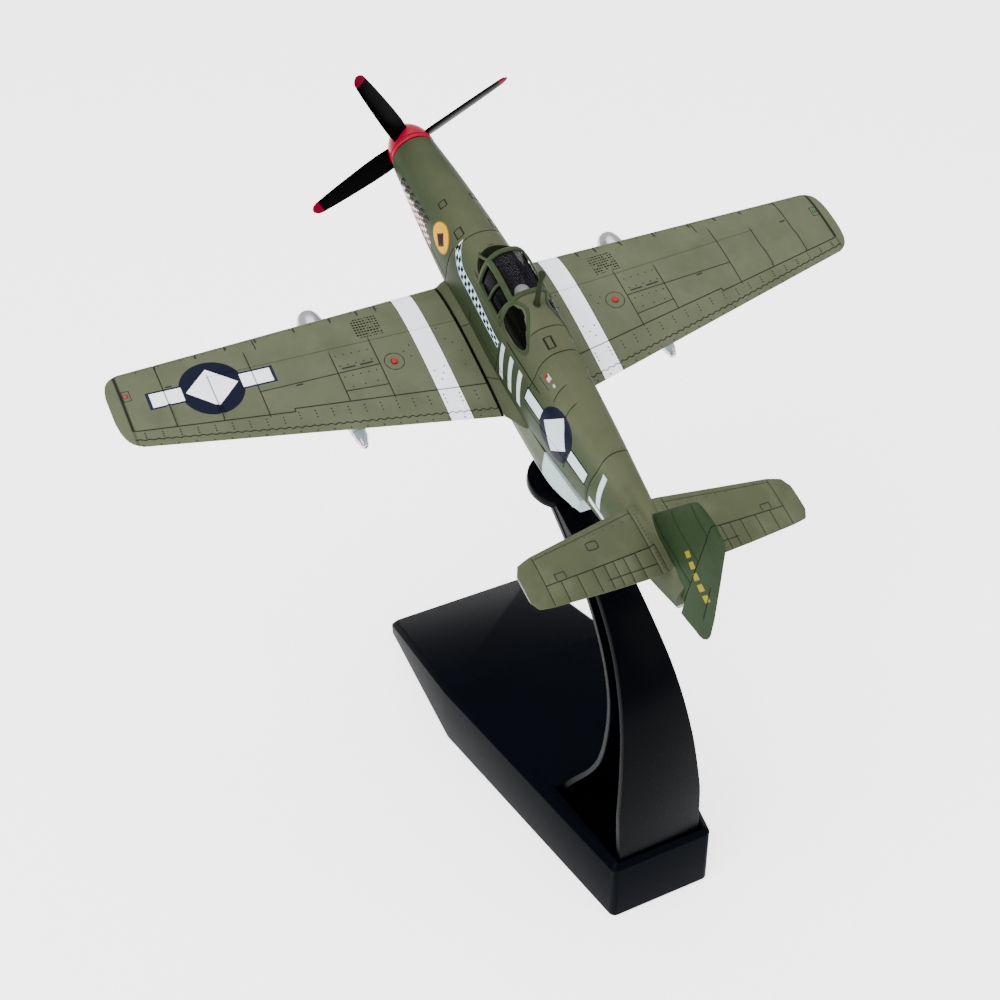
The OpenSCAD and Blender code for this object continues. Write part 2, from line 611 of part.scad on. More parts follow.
// The root's edge follows the spinner's curve, a little way outside it.
function blade_height(x, y, row) = row[0] > blade_rows[0][0] ? row[0] * prop_r / 25
    : sqrt(pow(spinner_radius(min(hub_x + x, plate_x)), 2) - y * y) + 0.14;
function blade_ring(row) =
    let (half = row[1] * blade_chord / 9.2, t = 0.5 - 0.012 * row[0], c = cos(row[2]), s = sin(row[2]))
    [for (a = [0:45:315])
        let (u = half * cos(a), v = t * sin(a) * (1.1 + 0.3 * cos(a)), x = u * s + v * c, y = v * s - u * c)
        [x, y, blade_height(x, y, row)]];
module blade(i) {
    color([0.05, 0.05, 0.05]) on_aircraft() at_blade(i) {
        translate([0, 0, 2.25]) cylinder(r = 1.03, h = 3.2, $fn = 24);
        skin([for (row = blade_rows) blade_ring(row)],
             first_faces = [[0, 1, 7], [1, 2, 6], [1, 6, 7], [2, 3, 5], [2, 5, 6], [3, 4, 5]]);
    }
}

// ---- nodes -----------------------------------------------------------------------------------

base_shell();
bottom_plate();
base_screw(0);  // base_screw_1
base_screw(1);  // base_screw_2
base_screw(2);  // base_screw_3
base_screw(3);  // base_screw_4
arm();
cradle_disc();
swivel_peg();
fuselage(-1);  // fuselage_left
fuselage(1);  // fuselage_right
rudder();
wing(-1);  // wing_left
wing(1);  // wing_right
tailplane(-1);  // tailplane_left
tailplane(1);  // tailplane_right
belly_scoop();
scoop_flap();
exhaust(-1);  // exhaust_left
exhaust(1);  // exhaust_right
windscreen();
canopy_glass();
canopy_frame();
rear_window(-1);  // rear_window_left
rear_window(1);  // rear_window_right
cockpit_tub();
seat();
headrest();
instrument_panel();
antenna_mast();
tank(-1);  // tank_left
tank(1);  // tank_right
tank_tail(-1);  // tank_tail_left
tank_tail(1);  // tank_tail_right
pylon(-1);  // pylon_left
pylon(1);  // pylon_right
fuel_cap(-1);  // fuel_cap_left
fuel_cap(1);  // fuel_cap_right
tip_light(-1);  // tip_light_left
tip_light(1);  // tip_light_right
nose_bush();
backplate();
spinner();
prop_shaft();
blade(0);  // blade_1
blade(1);  // blade_2
blade(2);  // blade_3
blade(3);  // blade_4
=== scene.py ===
import math
import bpy
import bmesh
import numpy as np
from mathutils import Matrix, Vector


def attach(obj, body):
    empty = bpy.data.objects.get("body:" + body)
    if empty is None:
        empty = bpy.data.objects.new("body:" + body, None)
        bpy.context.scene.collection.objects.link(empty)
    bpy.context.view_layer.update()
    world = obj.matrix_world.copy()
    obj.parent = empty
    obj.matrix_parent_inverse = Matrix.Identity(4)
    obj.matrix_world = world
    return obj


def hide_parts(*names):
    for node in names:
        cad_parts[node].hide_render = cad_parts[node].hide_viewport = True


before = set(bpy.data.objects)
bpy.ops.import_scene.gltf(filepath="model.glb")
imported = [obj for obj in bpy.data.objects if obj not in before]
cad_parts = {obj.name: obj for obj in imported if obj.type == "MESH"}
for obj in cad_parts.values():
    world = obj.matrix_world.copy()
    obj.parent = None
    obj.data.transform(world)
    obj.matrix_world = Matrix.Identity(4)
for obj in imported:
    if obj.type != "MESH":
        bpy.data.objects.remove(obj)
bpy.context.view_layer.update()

# The aircraft's own frame: X aft of the spinner tip, Y to starboard, Z above the thrust line.
# Its meshes keep those axes, in metres, and TO_ROW places them in the row frame.
MM = 0.001
PITCH = math.radians(18.3)
COS, SIN = math.cos(PITCH), math.sin(PITCH)
NOSE = (0.0702, 0.0, 0.1219)
TO_ROW = Matrix(((-COS, 0, -SIN, NOSE[0]), (0, -1, 0, NOSE[1]), (-SIN, 0, COS, NOSE[2]), (0, 0, 0, 1)))
ROW = Matrix.Identity(4)


# ---- camera, lights and floor ----------------------------------------------------------------

def make_camera():
    data = bpy.data.cameras.new("camera")
    data.lens = 54.75
    data.sensor_width = 36
    data.clip_start = 0.01
    cam = bpy.data.objects.new("camera", data)
    right = Vector((-0.4277, -0.9035, -0.0274))
    up = Vector((0.5551, -0.2864, 0.7810))
    back = right.cross(up).normalized()
    up = back.cross(right).normalized()
    place = Matrix((right.normalized(), up, back)).transposed().to_4x4()
    place.translation = Vector((-0.2152, 0.1071, 0.2624))
    cam.matrix_world = place
    bpy.context.scene.collection.objects.link(cam)
    bpy.context.scene.camera = cam


def area_light(name, place, aim, size, power):
    data = bpy.data.lights.new(name, "AREA")
    data.shape = "RECTANGLE"
    data.size, data.size_y = size
    data.energy = power
    lamp = bpy.data.objects.new(name, data)
    lamp.location = place
    lamp.rotation_euler = (Vector(aim) - Vector(place)).to_track_quat("-Z", "Y").to_euler()
    bpy.context.scene.collection.objects.link(lamp)


def make_studio():
    world = bpy.data.worlds.new("studio")
    bpy.context.scene.world = world
    world.use_nodes = True
    world.node_tree.nodes["Background"].inputs[0].default_value = (1, 1, 1, 1)
    world.node_tree.nodes["Background"].inputs[1].default_value = 1.0
    mesh = bpy.data.meshes.new("floor")
    far = 6.0
    mesh.from_pydata([(-far, -far, 0), (far, -far, 0), (far, far, 0), (-far, far, 0)], [], [(0, 1, 2, 3)])
    floor = bpy.data.objects.new("floor", mesh)
    mat = bpy.data.materials.new("floor_white")
    mat.use_nodes = True
    shader = mat.node_tree.nodes["Principled BSDF"]
    # the floor gives off a little light, so that it comes out pale under the dark stand
    for socket, value in (("Base Color", (0.93, 0.93, 0.93, 1)), ("Roughness", 0.9),
                          ("Specular IOR Level", 0.1), ("Emission Color", (1, 1, 1, 1)),
                          ("Emission Strength", 2.0)):
        shader.inputs[socket].default_value = value
    mesh.materials.append(mat)
    bpy.context.scene.collection.objects.link(floor)
    area_light("key", (-0.25, 0.55, 0.95), (0, 0, 0.08), (0.7, 0.7), 13)
    area_light("fill", (-0.6, -0.6, 0.7), (0, 0, 0.08), (0.9, 0.9), 4)
    area_light("top", (0.3, 0, 1.2), (0, 0, 0.05), (1.0, 1.0), 8)


# ---- procedural materials --------------------------------------------------------------------

class Num:
    """A number in a material's node tree, which can be added, compared and so on."""

    def __init__(self, paint, value):
        self.paint = paint
        self.value = value

    def _op(self, kind, *others):
        node = self.paint.node("Math")
        node.operation = kind
        for socket, item in zip(node.inputs, (self, *others)):
            self.paint.feed(socket, item)
        return Num(self.paint, node.outputs[0])

    def __add__(self, o): return self._op("ADD", o)
    def __sub__(self, o): return self._op("SUBTRACT", o)
    def __mul__(self, o): return self._op("MULTIPLY", o)
    def __truediv__(self, o): return self._op("DIVIDE", o)
    def abs(self): return self._op("ABSOLUTE")
    def over(self, o): return self._op("GREATER_THAN", o)
    def under(self, o): return self._op("LESS_THAN", o)
    def mod(self, o): return self._op("FLOORED_MODULO", o)
    def root(self): return self._op("SQRT")


def near(value, middle, half):
    """1 where value is within half of middle, else 0."""
    return (value - middle).abs().under(half)


def slab(a, a0, a1, b, b0, b1):
    """1 inside the box a0..a1 by b0..b1."""
    return near(a, (a0 + a1) / 2, (a1 - a0) / 2) * near(b, (b0 + b1) / 2, (b1 - b0) / 2)




class Paint:
    """A Principled material with coordinates in millimetres, noise, and colours laid over each other."""

    def __init__(self, name, colour, rough=0.5, metal=0.0, spec=0.5):
        self.mat = bpy.data.materials.new(name)
        self.mat.use_nodes = True
        self.metal = metal > 0.3
        self.tree = self.mat.node_tree
        self.shader = self.tree.nodes["Principled BSDF"]
        self.shader.inputs["Metallic"].default_value = metal
        self.shader.inputs["Specular IOR Level"].default_value = spec
        scale = self.node("VectorMath")
        scale.operation = "SCALE"
        scale.inputs["Scale"].default_value = 1000.0
        self.feed(scale.inputs[0], self.node("TexCoord").outputs["Object"])
        self.point = scale.outputs[0]
        split = self.node("SeparateXYZ")
        self.feed(split.inputs[0], self.point)
        self.x, self.y, self.z = (Num(self, o) for o in split.outputs)
        self.colour = self.flat(colour)
        self.rough = Num(self, rough)
        self.height = None

    def feed(self, socket, value):
        """Sets a socket, or links it where the value is another node's."""
        value = value.value if isinstance(value, Num) else value
        if isinstance(value, bpy.types.NodeSocket):
            self.tree.links.new(value, socket)
        else:
            socket.default_value = value

    def node(self, kind, **sockets):
        """A new node, with its sockets set or linked by name."""
        node = self.tree.nodes.new("ShaderNode" + kind)
        for name, value in sockets.items():
            self.feed(node.inputs[name.replace("_", " ")], value)
        return node

    def flat(self, rgb):
        node = self.node("RGB")
        convert = srgb if self.metal else albedo
        node.outputs[0].default_value = (*(convert(c) for c in rgb), 1)
        return node.outputs[0]

    def noise(self, scale, detail, stretch=None):
        """Noise from 0 to 1, scale features to the millimetre."""
        source = self.point
        if stretch:
            by = self.node("VectorMath")
            by.operation = "MULTIPLY"
            self.feed(by.inputs[0], source)
            by.inputs[1].default_value = stretch
            source = by.outputs[0]
        node = self.node("TexNoise", Scale=scale, Detail=detail, Roughness=0.55, Vector=source)
        return Num(self, node.outputs["Fac"])

    def attribute(self, name):
        node = self.node("Attribute")
        node.attribute_name = name
        return Num(self, node.outputs["Fac"])

    def ramp(self, value, a, b):
        """0 below a, 1 above b, and straight between."""
        return Num(self, self.node("MapRange", From_Min=a, From_Max=b, Value=value).outputs["Result"])

    def over(self, rgb, mask, share=1.0):
        """Lays a colour over what is there, where mask is 1."""
        node = self.node("Mix")
        node.data_type = "RGBA"
        fac = mask * share if share != 1.0 else mask
        for socket, value in (("Factor", fac), ("A", self.colour), ("B", self.flat(rgb))):
            self.feed(node.inputs[socket], value)
        self.colour = node.outputs["Result"]

    def wash(self):
        """Dark paint in the engraved lines."""
        self.over(WASH, self.ramp(self.attribute("wash"), 0.05, 0.7), 0.9)

    def done(self):
        self.feed(self.shader.inputs["Base Color"], self.colour)
        self.feed(self.shader.inputs["Roughness"], self.rough)
        if self.height is not None:
            node = self.node("Bump", Strength=0.12, Distance=0.0001, Height=self.height)
            self.feed(self.shader.inputs["Normal"], node.outputs["Normal"])
        return self.mat


def srgb(c):
    """A 0 to 255 screen value as a linear one."""
    c = c / 255.0
    return c / 12.92 if c <= 0.04045 else ((c + 0.055) / 1.055) ** 2.4


def albedo(c):
    """The base colour that looks like a 0 to 255 screen value under this scene's bright studio light."""
    seen = srgb(c)
    return 0.76 * seen**1.62 + 0.18 * seen**6


def worn(p, dark, light, amount=0.35):
    """Soft mottling and fine speckle that every moulded or painted surface shows."""
    p.over(dark, p.ramp(p.noise(0.11, 5), 0.45, 0.75), amount)
    p.over(light, p.ramp(p.noise(0.16, 5, (1, 1.3, 1)), 0.5, 0.8), amount)
    p.height = p.noise(6.0, 3)
    p.rough = p.rough + (p.noise(0.5, 4) - 0.5) * 0.12


# ---- mesh helpers ----------------------------------------------------------------------------

def xyz(x, y, z):
    """Points from coordinates that are numbers or arrays of one length."""
    return np.stack(np.broadcast_arrays(*(np.asarray(v, float) for v in (x, y, z))), -1)


def unit(v):
    return np.asarray(v, float) / np.linalg.norm(v)


def turns(n):
    """n angles once round a circle."""
    return np.arange(n) * 2 * np.pi / n


def table(rows, x, c):
    """Column c at x, straight between the rows of a table whose first column rises."""
    return np.interp(x, [r[0] for r in rows], [r[c] for r in rows])


def word(side):
    return "right" if side > 0 else "left"


def new_mesh(name, points, faces):
    """A mesh from points in millimetres, with its faces turned outwards."""
    mesh = bpy.data.meshes.new(name)
    mesh.from_pydata((np.asarray(points, float) * MM).tolist(), [], faces)
    bm = bmesh.new()
    bm.from_mesh(mesh)
    bmesh.ops.recalc_face_normals(bm, faces=bm.faces)
    bm.to_mesh(mesh)
    bm.free()
    return mesh


def piece(name, shape, mats, body="aircraft", place=TO_ROW, hides=(), values=None, face_mats=None,
          sharp=38):
    """A piece from (points, faces), which rides on a body. values is a dict of vertex attributes."""
    mesh = new_mesh(name, *shape)
    for mat in mats if isinstance(mats, list) else [mats]:
        mesh.materials.append(mat)
    if face_mats is not None:
        mesh.polygons.foreach_set("material_index", np.asarray(face_mats, np.int32))
    for key, data in (values or {}).items():
        mesh.attributes.new(key, "FLOAT", "POINT").data.foreach_set("value", np.asarray(data, np.float32))
    mesh.shade_smooth()
    mesh.set_sharp_from_angle(angle=math.radians(sharp))
    obj = bpy.data.objects.new(name, mesh)
    obj.matrix_world = place
    bpy.context.scene.collection.objects.link(obj)
    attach(obj, body)
    if hides:
        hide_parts(*hides)
    return obj


def loft(rings, caps=True):
    """Points and quads through equal closed rings."""
    rows, n = len(rings), len(rings[0])
    faces = []
    for j in range(rows - 1):
        for i in range(n):
            k = (i + 1) % n
            faces.append((j * n + i, j * n + k, (j + 1) * n + k, (j + 1) * n + i))
    if caps:
        faces.append(tuple(range(n - 1, -1, -1)))
        faces.append(tuple(range((rows - 1) * n, rows * n)))
    return np.concatenate([np.asarray(r, float) for r in rings]), faces


def skin(sections):
    """A loft through (one side, other side, engraving of each) sections, and its engraving."""
    rings = [np.concatenate([a, b[::-1]]) for a, b, _, _ in sections]
    wash = [np.concatenate([a, b[::-1]]) for _, _, a, b in sections]
    return loft(rings), np.concatenate(wash)


def cuts(start, end, step, lines, half=0.16):
    """Grid places from start to end, with three places at each line for its groove."""
    marks = sorted(set(round(v, 4) for c in lines for v in (c - half, c, c + half)))
    marks = [m for m in marks if start < m < end]
    count = max(2, int(round((end - start) / step)) + 1)
    base = [b for b in np.linspace(start, end, count)
            if all(abs(b - m) > 0.3 * step for m in marks) or b in (start, end)]
    return np.array(sorted(set(base + marks)))


def groove(value, line, half=0.16):
    return np.clip(1 - np.abs(value - line) / half, 0, 1)


def within(value, a, b, soft=0.05):
    return ((value >= a - soft) & (value <= b + soft)).astype(float)


def station(rows, x, c):
    """A smooth value of column c at x in a table whose first column rises."""
    rows = np.asarray(rows, float)
    x = np.asarray(x, float)
    i = np.clip(np.searchsorted(rows[:, 0], x, side="right") - 1, 0, len(rows) - 2)
    last = len(rows) - 1
    def slope(k):
        a, b = np.maximum(k - 1, 0), np.minimum(k + 1, last)
        return (rows[b, c] - rows[a, c]) / (rows[b, 0] - rows[a, 0])
    h = rows[i + 1, 0] - rows[i, 0]
    t = (x - rows[i, 0]) / h
    m0, m1 = slope(i) * h, slope(i + 1) * h
    return ((2 * t**3 - 3 * t**2 + 1) * rows[i, c] + (t**3 - 2 * t**2 + t) * m0
            + (3 * t**2 - 2 * t**3) * rows[i + 1, c] + (t**3 - t**2) * m1)


# ---- wings -----------------------------------------------------------------------------------

SPAN = 156.8
TIP = SPAN / 2
DIHEDRAL = math.tan(math.radians(4.9))
WING_Z = -7.7
ENGRAVED = 0.12


def foil(u, t):
    return 5 * t * (0.2969 * np.sqrt(u) - 0.126 * u - 0.3516 * u**2 + 0.2843 * u**3 - 0.1036 * u**4)


def wing_lead(y):
    return 38.4 + 0.08 * y


def wing_trail(y):
    return 75.2 - 0.18 * y


def wing_squeeze(y):
    return np.interp(y, [TIP - 3.4, TIP - 2.5, TIP - 1.7, TIP - 1.1, TIP - 0.6, TIP - 0.25, TIP],
                     [1.0, 0.97, 0.92, 0.85, 0.74, 0.59, 0.38])


def wing_at(u, y, top):
    """X and Z of the wing's skin at chord fraction u and distance y from the centre line."""
    chord = wing_trail(y) - wing_lead(y)
    s = wing_squeeze(y)
    middle = (wing_lead(y) + wing_trail(y)) / 2 - 1.2 * (1 - s)
    x = middle + s * chord * (u - 0.5)
    t = (0.15 - 0.04 * y / TIP) * (0.35 + 0.65 * s)
    half = s * chord * foil(u, t) + 0.12 * np.clip((1 - u) * 30, 0.35, 1) * np.clip(u * 60, 0.0, 1)
    z = WING_Z + y * DIHEDRAL + (half if top else -half)
    return x, z


# Lines across the wing's top: (distance from the centre line, first X, last X).
CHORD_LINES = [(27.1, 50.2, 63.7), (35.7, 50.9, 62.5), (51.2, 46.7, 61.5), (59.5, 50.2, 60.2),
               (68.1, 44.9, 59.2), (75.9, 45.2, 58.0), (48.6, 43.3, 46.0)]
NOTCHES = [22.6, 26.6, 32.4, 40.0, 48.0, 54.1, 60.0, 68.0]
FLAP_IN, FLAP_OUT, STEP_Y = 0.778, 0.806, 46.4
HINGE_IN, HINGE_OUT = 0.955, 0.93
SCALLOP = 1.55


# Lines along the wing: how deep, and the first and last distance out.
SPAN_LINES = {"lead": (0.35, 10, 76), "spar": (0.55, 8, 60), "mid": (1, 27.1, 51.2), "door": (1, 27.1, 35.7),
              "flap_in": (1, 8, STEP_Y), "flap_out": (1, STEP_Y, 76), "hinge": (0.9, 8, 76)}


UNDER_LINES = [(12.0, 44, 66), (22.0, 44, 58), (40.0, 44, 64), (60.0, 46, 60), (68.1, 44.9, 59.2)]


def wing_rows(y):
    """The chord fractions of the grid's rows at y, and which groove each carries."""
    lead, chord = wing_lead(y), wing_trail(y) - wing_lead(y)
    rows = []
    def fixed(*us):
        rows.extend((u + 0 * y, None) for u in us)
    def line(u, tag, width=1.0):
        half = width * 0.15 / chord
        rows.extend([(u - half, None), (u + 0 * y, tag), (u + half, None)])
    fixed(0, 0.002, 0.006, 0.013, 0.022, 0.032)
    line(0.045, "lead")
    fixed(0.07, 0.1, 0.14, 0.18, 0.23, 0.27)
    spar, mid = (50.2 - lead) / chord, (56.1 - lead) / chord
    line(spar, "spar", 0.8)
    fixed(*(spar + (mid - spar) * k for k in (0.25, 0.5, 0.75)))
    line(mid, "mid")
    door = mid + (FLAP_IN - mid) * 0.64
    fixed((mid + door) / 2)
    line(door, "door")
    fixed((door + FLAP_IN) / 2)
    line(FLAP_IN, "flap_in", 1.2)
    line(FLAP_OUT, "flap_out", 1.2)
    fixed(0.84, 0.88)
    outer = HINGE_IN + (HINGE_OUT - HINGE_IN) * (y - STEP_Y) / (76 - STEP_Y)
    line(np.where(y < STEP_Y, HINGE_IN, outer) - 0.016 * np.abs(np.sin(np.pi * y / SCALLOP)), "hinge", 1.3)
    fixed(0.975, 0.99, 1.0)
    return rows


def chord_lines(depth, lines, x, y):
    for line, x0, x1 in lines:
        depth = np.maximum(depth, groove(y, line) * within(x, x0, x1, 0.2))
    return depth


def wing_depth(tag, u, x, y):
    """How deep, from 0 to 1, the wing's engraving is at each grid place of one row."""
    strength, y0, y1 = SPAN_LINES.get(tag, (0, 0, 0))
    depth = chord_lines(strength * within(y, y0, y1), CHORD_LINES, x, y)
    depth = np.maximum(depth, groove(y, STEP_Y) * within(u, FLAP_IN, FLAP_OUT, 0.004))
    depth = np.maximum(depth, groove(y, 76.0) * within(u, 0.78, 1.0))
    for n in NOTCHES:
        depth = np.maximum(depth, groove(y, n, 0.25) * within(u, 0, 0.046))
    return depth


def wing_under(tag, u, x, y):
    """The same for the underside: the flap and aileron lines, a wheel door and ribs."""
    depth = chord_lines(groove(y, STEP_Y) * within(u, 0.76, 1.0), UNDER_LINES, x, y)
    return np.maximum(depth, within(y, 8, 76)) if tag == "flap_in" else depth


RIDGES = [(68.1, 54.6, 58.9), (59.5, 55.6, 59.6)]


def build_wing(side, name, mat):
    lines = [c[0] for c in CHORD_LINES + UNDER_LINES] + NOTCHES + [STEP_Y, 76.0]
    tip = TIP - np.array([3.0, 2.5, 2.1, 1.7, 1.4, 1.1, 0.85, 0.6, 0.4, 0.25, 0.1, 0])
    ys = np.concatenate([cuts(8.3, TIP - 3.4, SCALLOP / 4, lines), tip])
    rows = wing_rows(ys)
    tops, unders, top_wash, under_wash = [], [], [], []
    for u, tag in rows:
        x, z = wing_at(u, ys, True)
        depth = wing_depth(tag, u, x, ys)
        ridge = sum(0.3 * np.clip(1.4 - np.abs(ys - c) / 0.35, 0, 1) * within(x, x0, x1)
                    for c, x0, x1 in RIDGES)
        tops.append(xyz(x, side * ys, z - ENGRAVED * depth + ridge))
        top_wash.append(depth)
        x, z = wing_at(u, ys, False)
        depth = wing_under(tag, u, x, ys)
        unders.append(xyz(x, side * ys, z + ENGRAVED * depth))
        under_wash.append(depth)
    wash = np.stack(top_wash + under_wash[::-1], 1)
    low = [0.0] * len(rows) + [float(0.013 < np.mean(u) < 0.99) for u, _ in rows[::-1]]
    piece(name, loft(np.stack(tops + unders[::-1], 1)), mat, hides=(name,),
          values={"wash": wash.reshape(-1), "under": np.tile(low, len(ys))})


OLIVE = (135, 139, 120)
OLIVE_DARK = (111, 116, 96)
OLIVE_LIGHT = (146, 150, 130)
WASH = (38, 42, 28)
WHITE = (251, 252, 255)


def wing_paint(name, badge):
    p = Paint(name, OLIVE, rough=0.46, spec=0.06)
    worn(p, OLIVE_DARK, OLIVE_LIGHT, 0.4)
    span = p.y.abs()
    pale_below(p)
    p.over((30, 32, 30), near(span, 16.45, 2.27))
    p.over(WHITE, near(span, 16.45, 2.15))
    if badge:
        a, b = p.x - 52.7, span - 59.4
        p.over((70, 78, 104), slab(a, -1.95, 1.95, b, -12.2, 12.2))
        p.over((48, 56, 82), (a * a + b * b).under(6.1 * 6.1))
        p.over(WHITE, slab(a, -1.55, 1.55, b, -11.55, -5.6))
        p.over(WHITE, slab(a, -1.55, 1.55, b, 5.6, 11.55))
        p.over(WHITE, (a.abs() * 1.15 + b.abs()).under(5.0))
    # painted shade: a near-black strip on the wing root beside the fairing, where the join lies in shade
    p.over((24, 26, 20), span.under(8.8))
    a, b = p.x - CAP_X, span - CAP_Y
    p.over(WASH, near((a * a + b * b).root(), 1.95, 0.09), 0.7)
    scuff = slab(p.x, 44.0, 49.2, span, 23.6, 29.0) * p.noise(1.1, 2).over(0.43)
    p.over((24, 26, 20), scuff * p.x.mod(0.7).under(0.36) * span.mod(0.62).under(0.42))
    p.wash()
    return p.done()


def plain(name, rgb, rough, metal=0.0, spec=0.5, amount=0.3):
    p = Paint(name, rgb, rough=rough, metal=metal, spec=spec)
    worn(p, tuple(c * 0.7 for c in rgb), tuple(min(255, c * 1.15 + 4) for c in rgb), amount)
    return p.done()


# ---- fuselage --------------------------------------------------------------------------------

# Each row: distance aft, top, bottom, height of the widest line, half width, power of the section.
BODY = [[8.5, 5.0, -6.2, -0.3, 5.0, 2.1], [20, 6.6, -8.1, -0.6, 5.6, 2.3], [34, 8.1, -9.7, -1.4, 6.2, 2.4],
        [47, 9.2, -10.7, -2.0, 6.5, 2.4], [62, 9.2, -11.0, -2.0, 6.6, 2.4], [76, 8.8, -10.5, -1.4, 6.1, 2.3],
        [90, 8.4, -8.8, -0.2, 5.2, 2.2], [105, 8.2, -5.9, 1.6, 4.0, 2.1], [118, 8.0, -2.8, 3.0, 2.8, 2.0],
        [127.2, 7.9, 0.2, 4.4, 1.7, 2.0]]
# Each row: distance aft, top, half width of the canopy and spine.
SPINE = [[44.6, 8.6, 1.2], [46, 10, 3.6], [48, 11.6, 4.6], [51.2, 13.9, 5.0], [54, 14.2, 5.2], [60, 13.7, 5.3],
         [66, 12.8, 5.2], [74, 12.0, 4.9], [84, 11.4, 4.3], [95, 10.8, 3.6], [110, 9.8, 2.4], [124, 8.8, 1.3]]
SPINE_FOOT, SPINE_POWER = 4.0, 2.7
SCREEN_REAR, CAB_REAR = 51.4, 62.4
COCKPIT_FRONT, COCKPIT_HALF = 50.6, 4.32


def spine_at(x):
    """The height of the crown and the half width of the canopy and spine."""
    return float(station(SPINE, x, 1)), float(station(SPINE, x, 2))


def body_reach(x, a, with_spine):
    """Distance from the section's centre to the skin at angles a, from starboard up and over to port."""
    top, low, mid, w, p = (float(station(BODY, x, c)) for c in range(1, 6))
    ca, sa = np.cos(a), np.sin(a)
    h = np.where(sa > 0, top - mid, mid - low)
    body = (np.abs(ca / w) ** p + np.abs(sa / h) ** p) ** (-1 / p)
    if not with_spine or x < CAB_REAR or x > 124:
        return body, mid
    crown, hw = spine_at(x)
    lo, hi = np.zeros_like(a), np.full_like(a, 30.0)
    for _ in range(32):
        r = (lo + hi) / 2
        y, z = r * ca, mid + r * sa
        rise = np.maximum(z - SPINE_FOOT, 0) / (crown - SPINE_FOOT)
        out = np.abs(y / hw) ** SPINE_POWER + rise**SPINE_POWER > 1
        hi = np.where(out, r, hi)
        lo = np.where(out, lo, r)
    spine = np.where(sa > 0.02, (lo + hi) / 2, 0)
    soft = 0.9
    near_both = np.maximum(soft - np.abs(body - spine), 0) / soft
    return np.maximum(body, spine) + 0.25 * soft * near_both**2 * (sa > 0.1), mid


# Engraved rings: (distance aft, first angle, last angle); engraved lengthwise lines: (angle, first X, last X).
RINGS = [(40.9, 50, 128), (40.0, 128, 205), (40.0, -25, 50), (70.2, 76, 104), (76.1, 38, 142), (82.9, 101, 120),
         (82.9, 60, 79), (87.2, 101, 119), (87.2, 61, 79), (99.4, 0, 360), (99.4, -60, 0), (115.5, 20, 80),
         (115.5, 100, 160), (28.8, 108, 119), (30.4, 108, 119), (37.4, 108, 118), (39.6, 108, 118),
         (28.8, 61, 72), (30.4, 61, 72), (37.4, 62, 72), (39.6, 62, 72), (72.2, 92, 99), (74.8, 92, 99),
         (52.0, 165, 200), (64.7, 140, 200), (91.5, 160, 205), (91.5, -25, 20)]
LENGTHS = [(129, 66, 78.2), (51, 66, 78.2), (176, 76.1, 99.4), (4, 76.1, 99.4),
           (119, 28.8, 30.4), (108.5, 28.8, 30.4), (118, 37.4, 39.6), (61, 28.8, 30.4), (71.5, 28.8, 30.4),
           (62, 37.4, 39.6), (72, 37.4, 39.6), (108.5, 37.4, 39.6), (92.5, 72.2, 74.8), (98.5, 72.2, 74.8),
           (180, 52, 70), (0, 52, 70), (192, 30, 40), (-12, 30, 40), (270, 9, 126)]


def turned(a, b):
    return np.abs((a - b + 180) % 360 - 180)


def build_body():
    """The fuselage skin, open at the cockpit, with panel lines engraved in it."""
    xs = cuts(8.5, 127.2, 1.7, [r[0] for r in RINGS] + [52.0], 0.15)
    xs = sorted(set(xs) | {COCKPIT_FRONT, CAB_REAR, 9.0})
    xs.insert(xs.index(CAB_REAR), CAB_REAR - 0.001)
    marks = sorted({c % 360 for c, _, _ in LENGTHS} | {66.2, 113.8})
    angles = cuts(0.0, 360.0, 4.5, [m for m in marks if 2 < m < 358], 1.3)[:-1]
    angles = np.array(sorted(set(angles) | {4.0, 2.7, 5.3}))
    a = np.radians(angles)
    rings, wash = [], []
    for x in xs:
        reach, mid = body_reach(x, a, x >= CAB_REAR)
        depth = np.zeros_like(a)
        for c, a0, a1 in RINGS:
            span = ((angles >= a0) & (angles <= a1)) | ((angles - 360 >= a0) & (angles - 360 <= a1))
            depth = np.maximum(depth, groove(x, c, 0.15) * span)
        for c, x0, x1 in LENGTHS:
            if x0 - 0.05 <= x <= x1 + 0.05:
                depth = np.maximum(depth, groove(turned(angles, c), 0, 1.3))
        reach = reach - ENGRAVED * depth
        rings.append(xyz(x, reach * np.cos(a), mid + reach * np.sin(a)))
        wash.append(depth)
    points, faces = loft(rings)
    def is_open(face):
        x, y, z = points[list(face)].T
        return (len(face) == 4 and COCKPIT_FRONT < x.mean() < CAB_REAR - 0.01
                and (np.abs(y) < COCKPIT_HALF).all() and (z > 3).all())
    piece("fuselage_skin", (points, [f for f in faces if not is_open(f)]), body_paint(),
          hides=("fuselage_left", "fuselage_right"),
          values={"wash": np.concatenate(wash), "under": np.tile(turned(angles, 270), len(rings))})


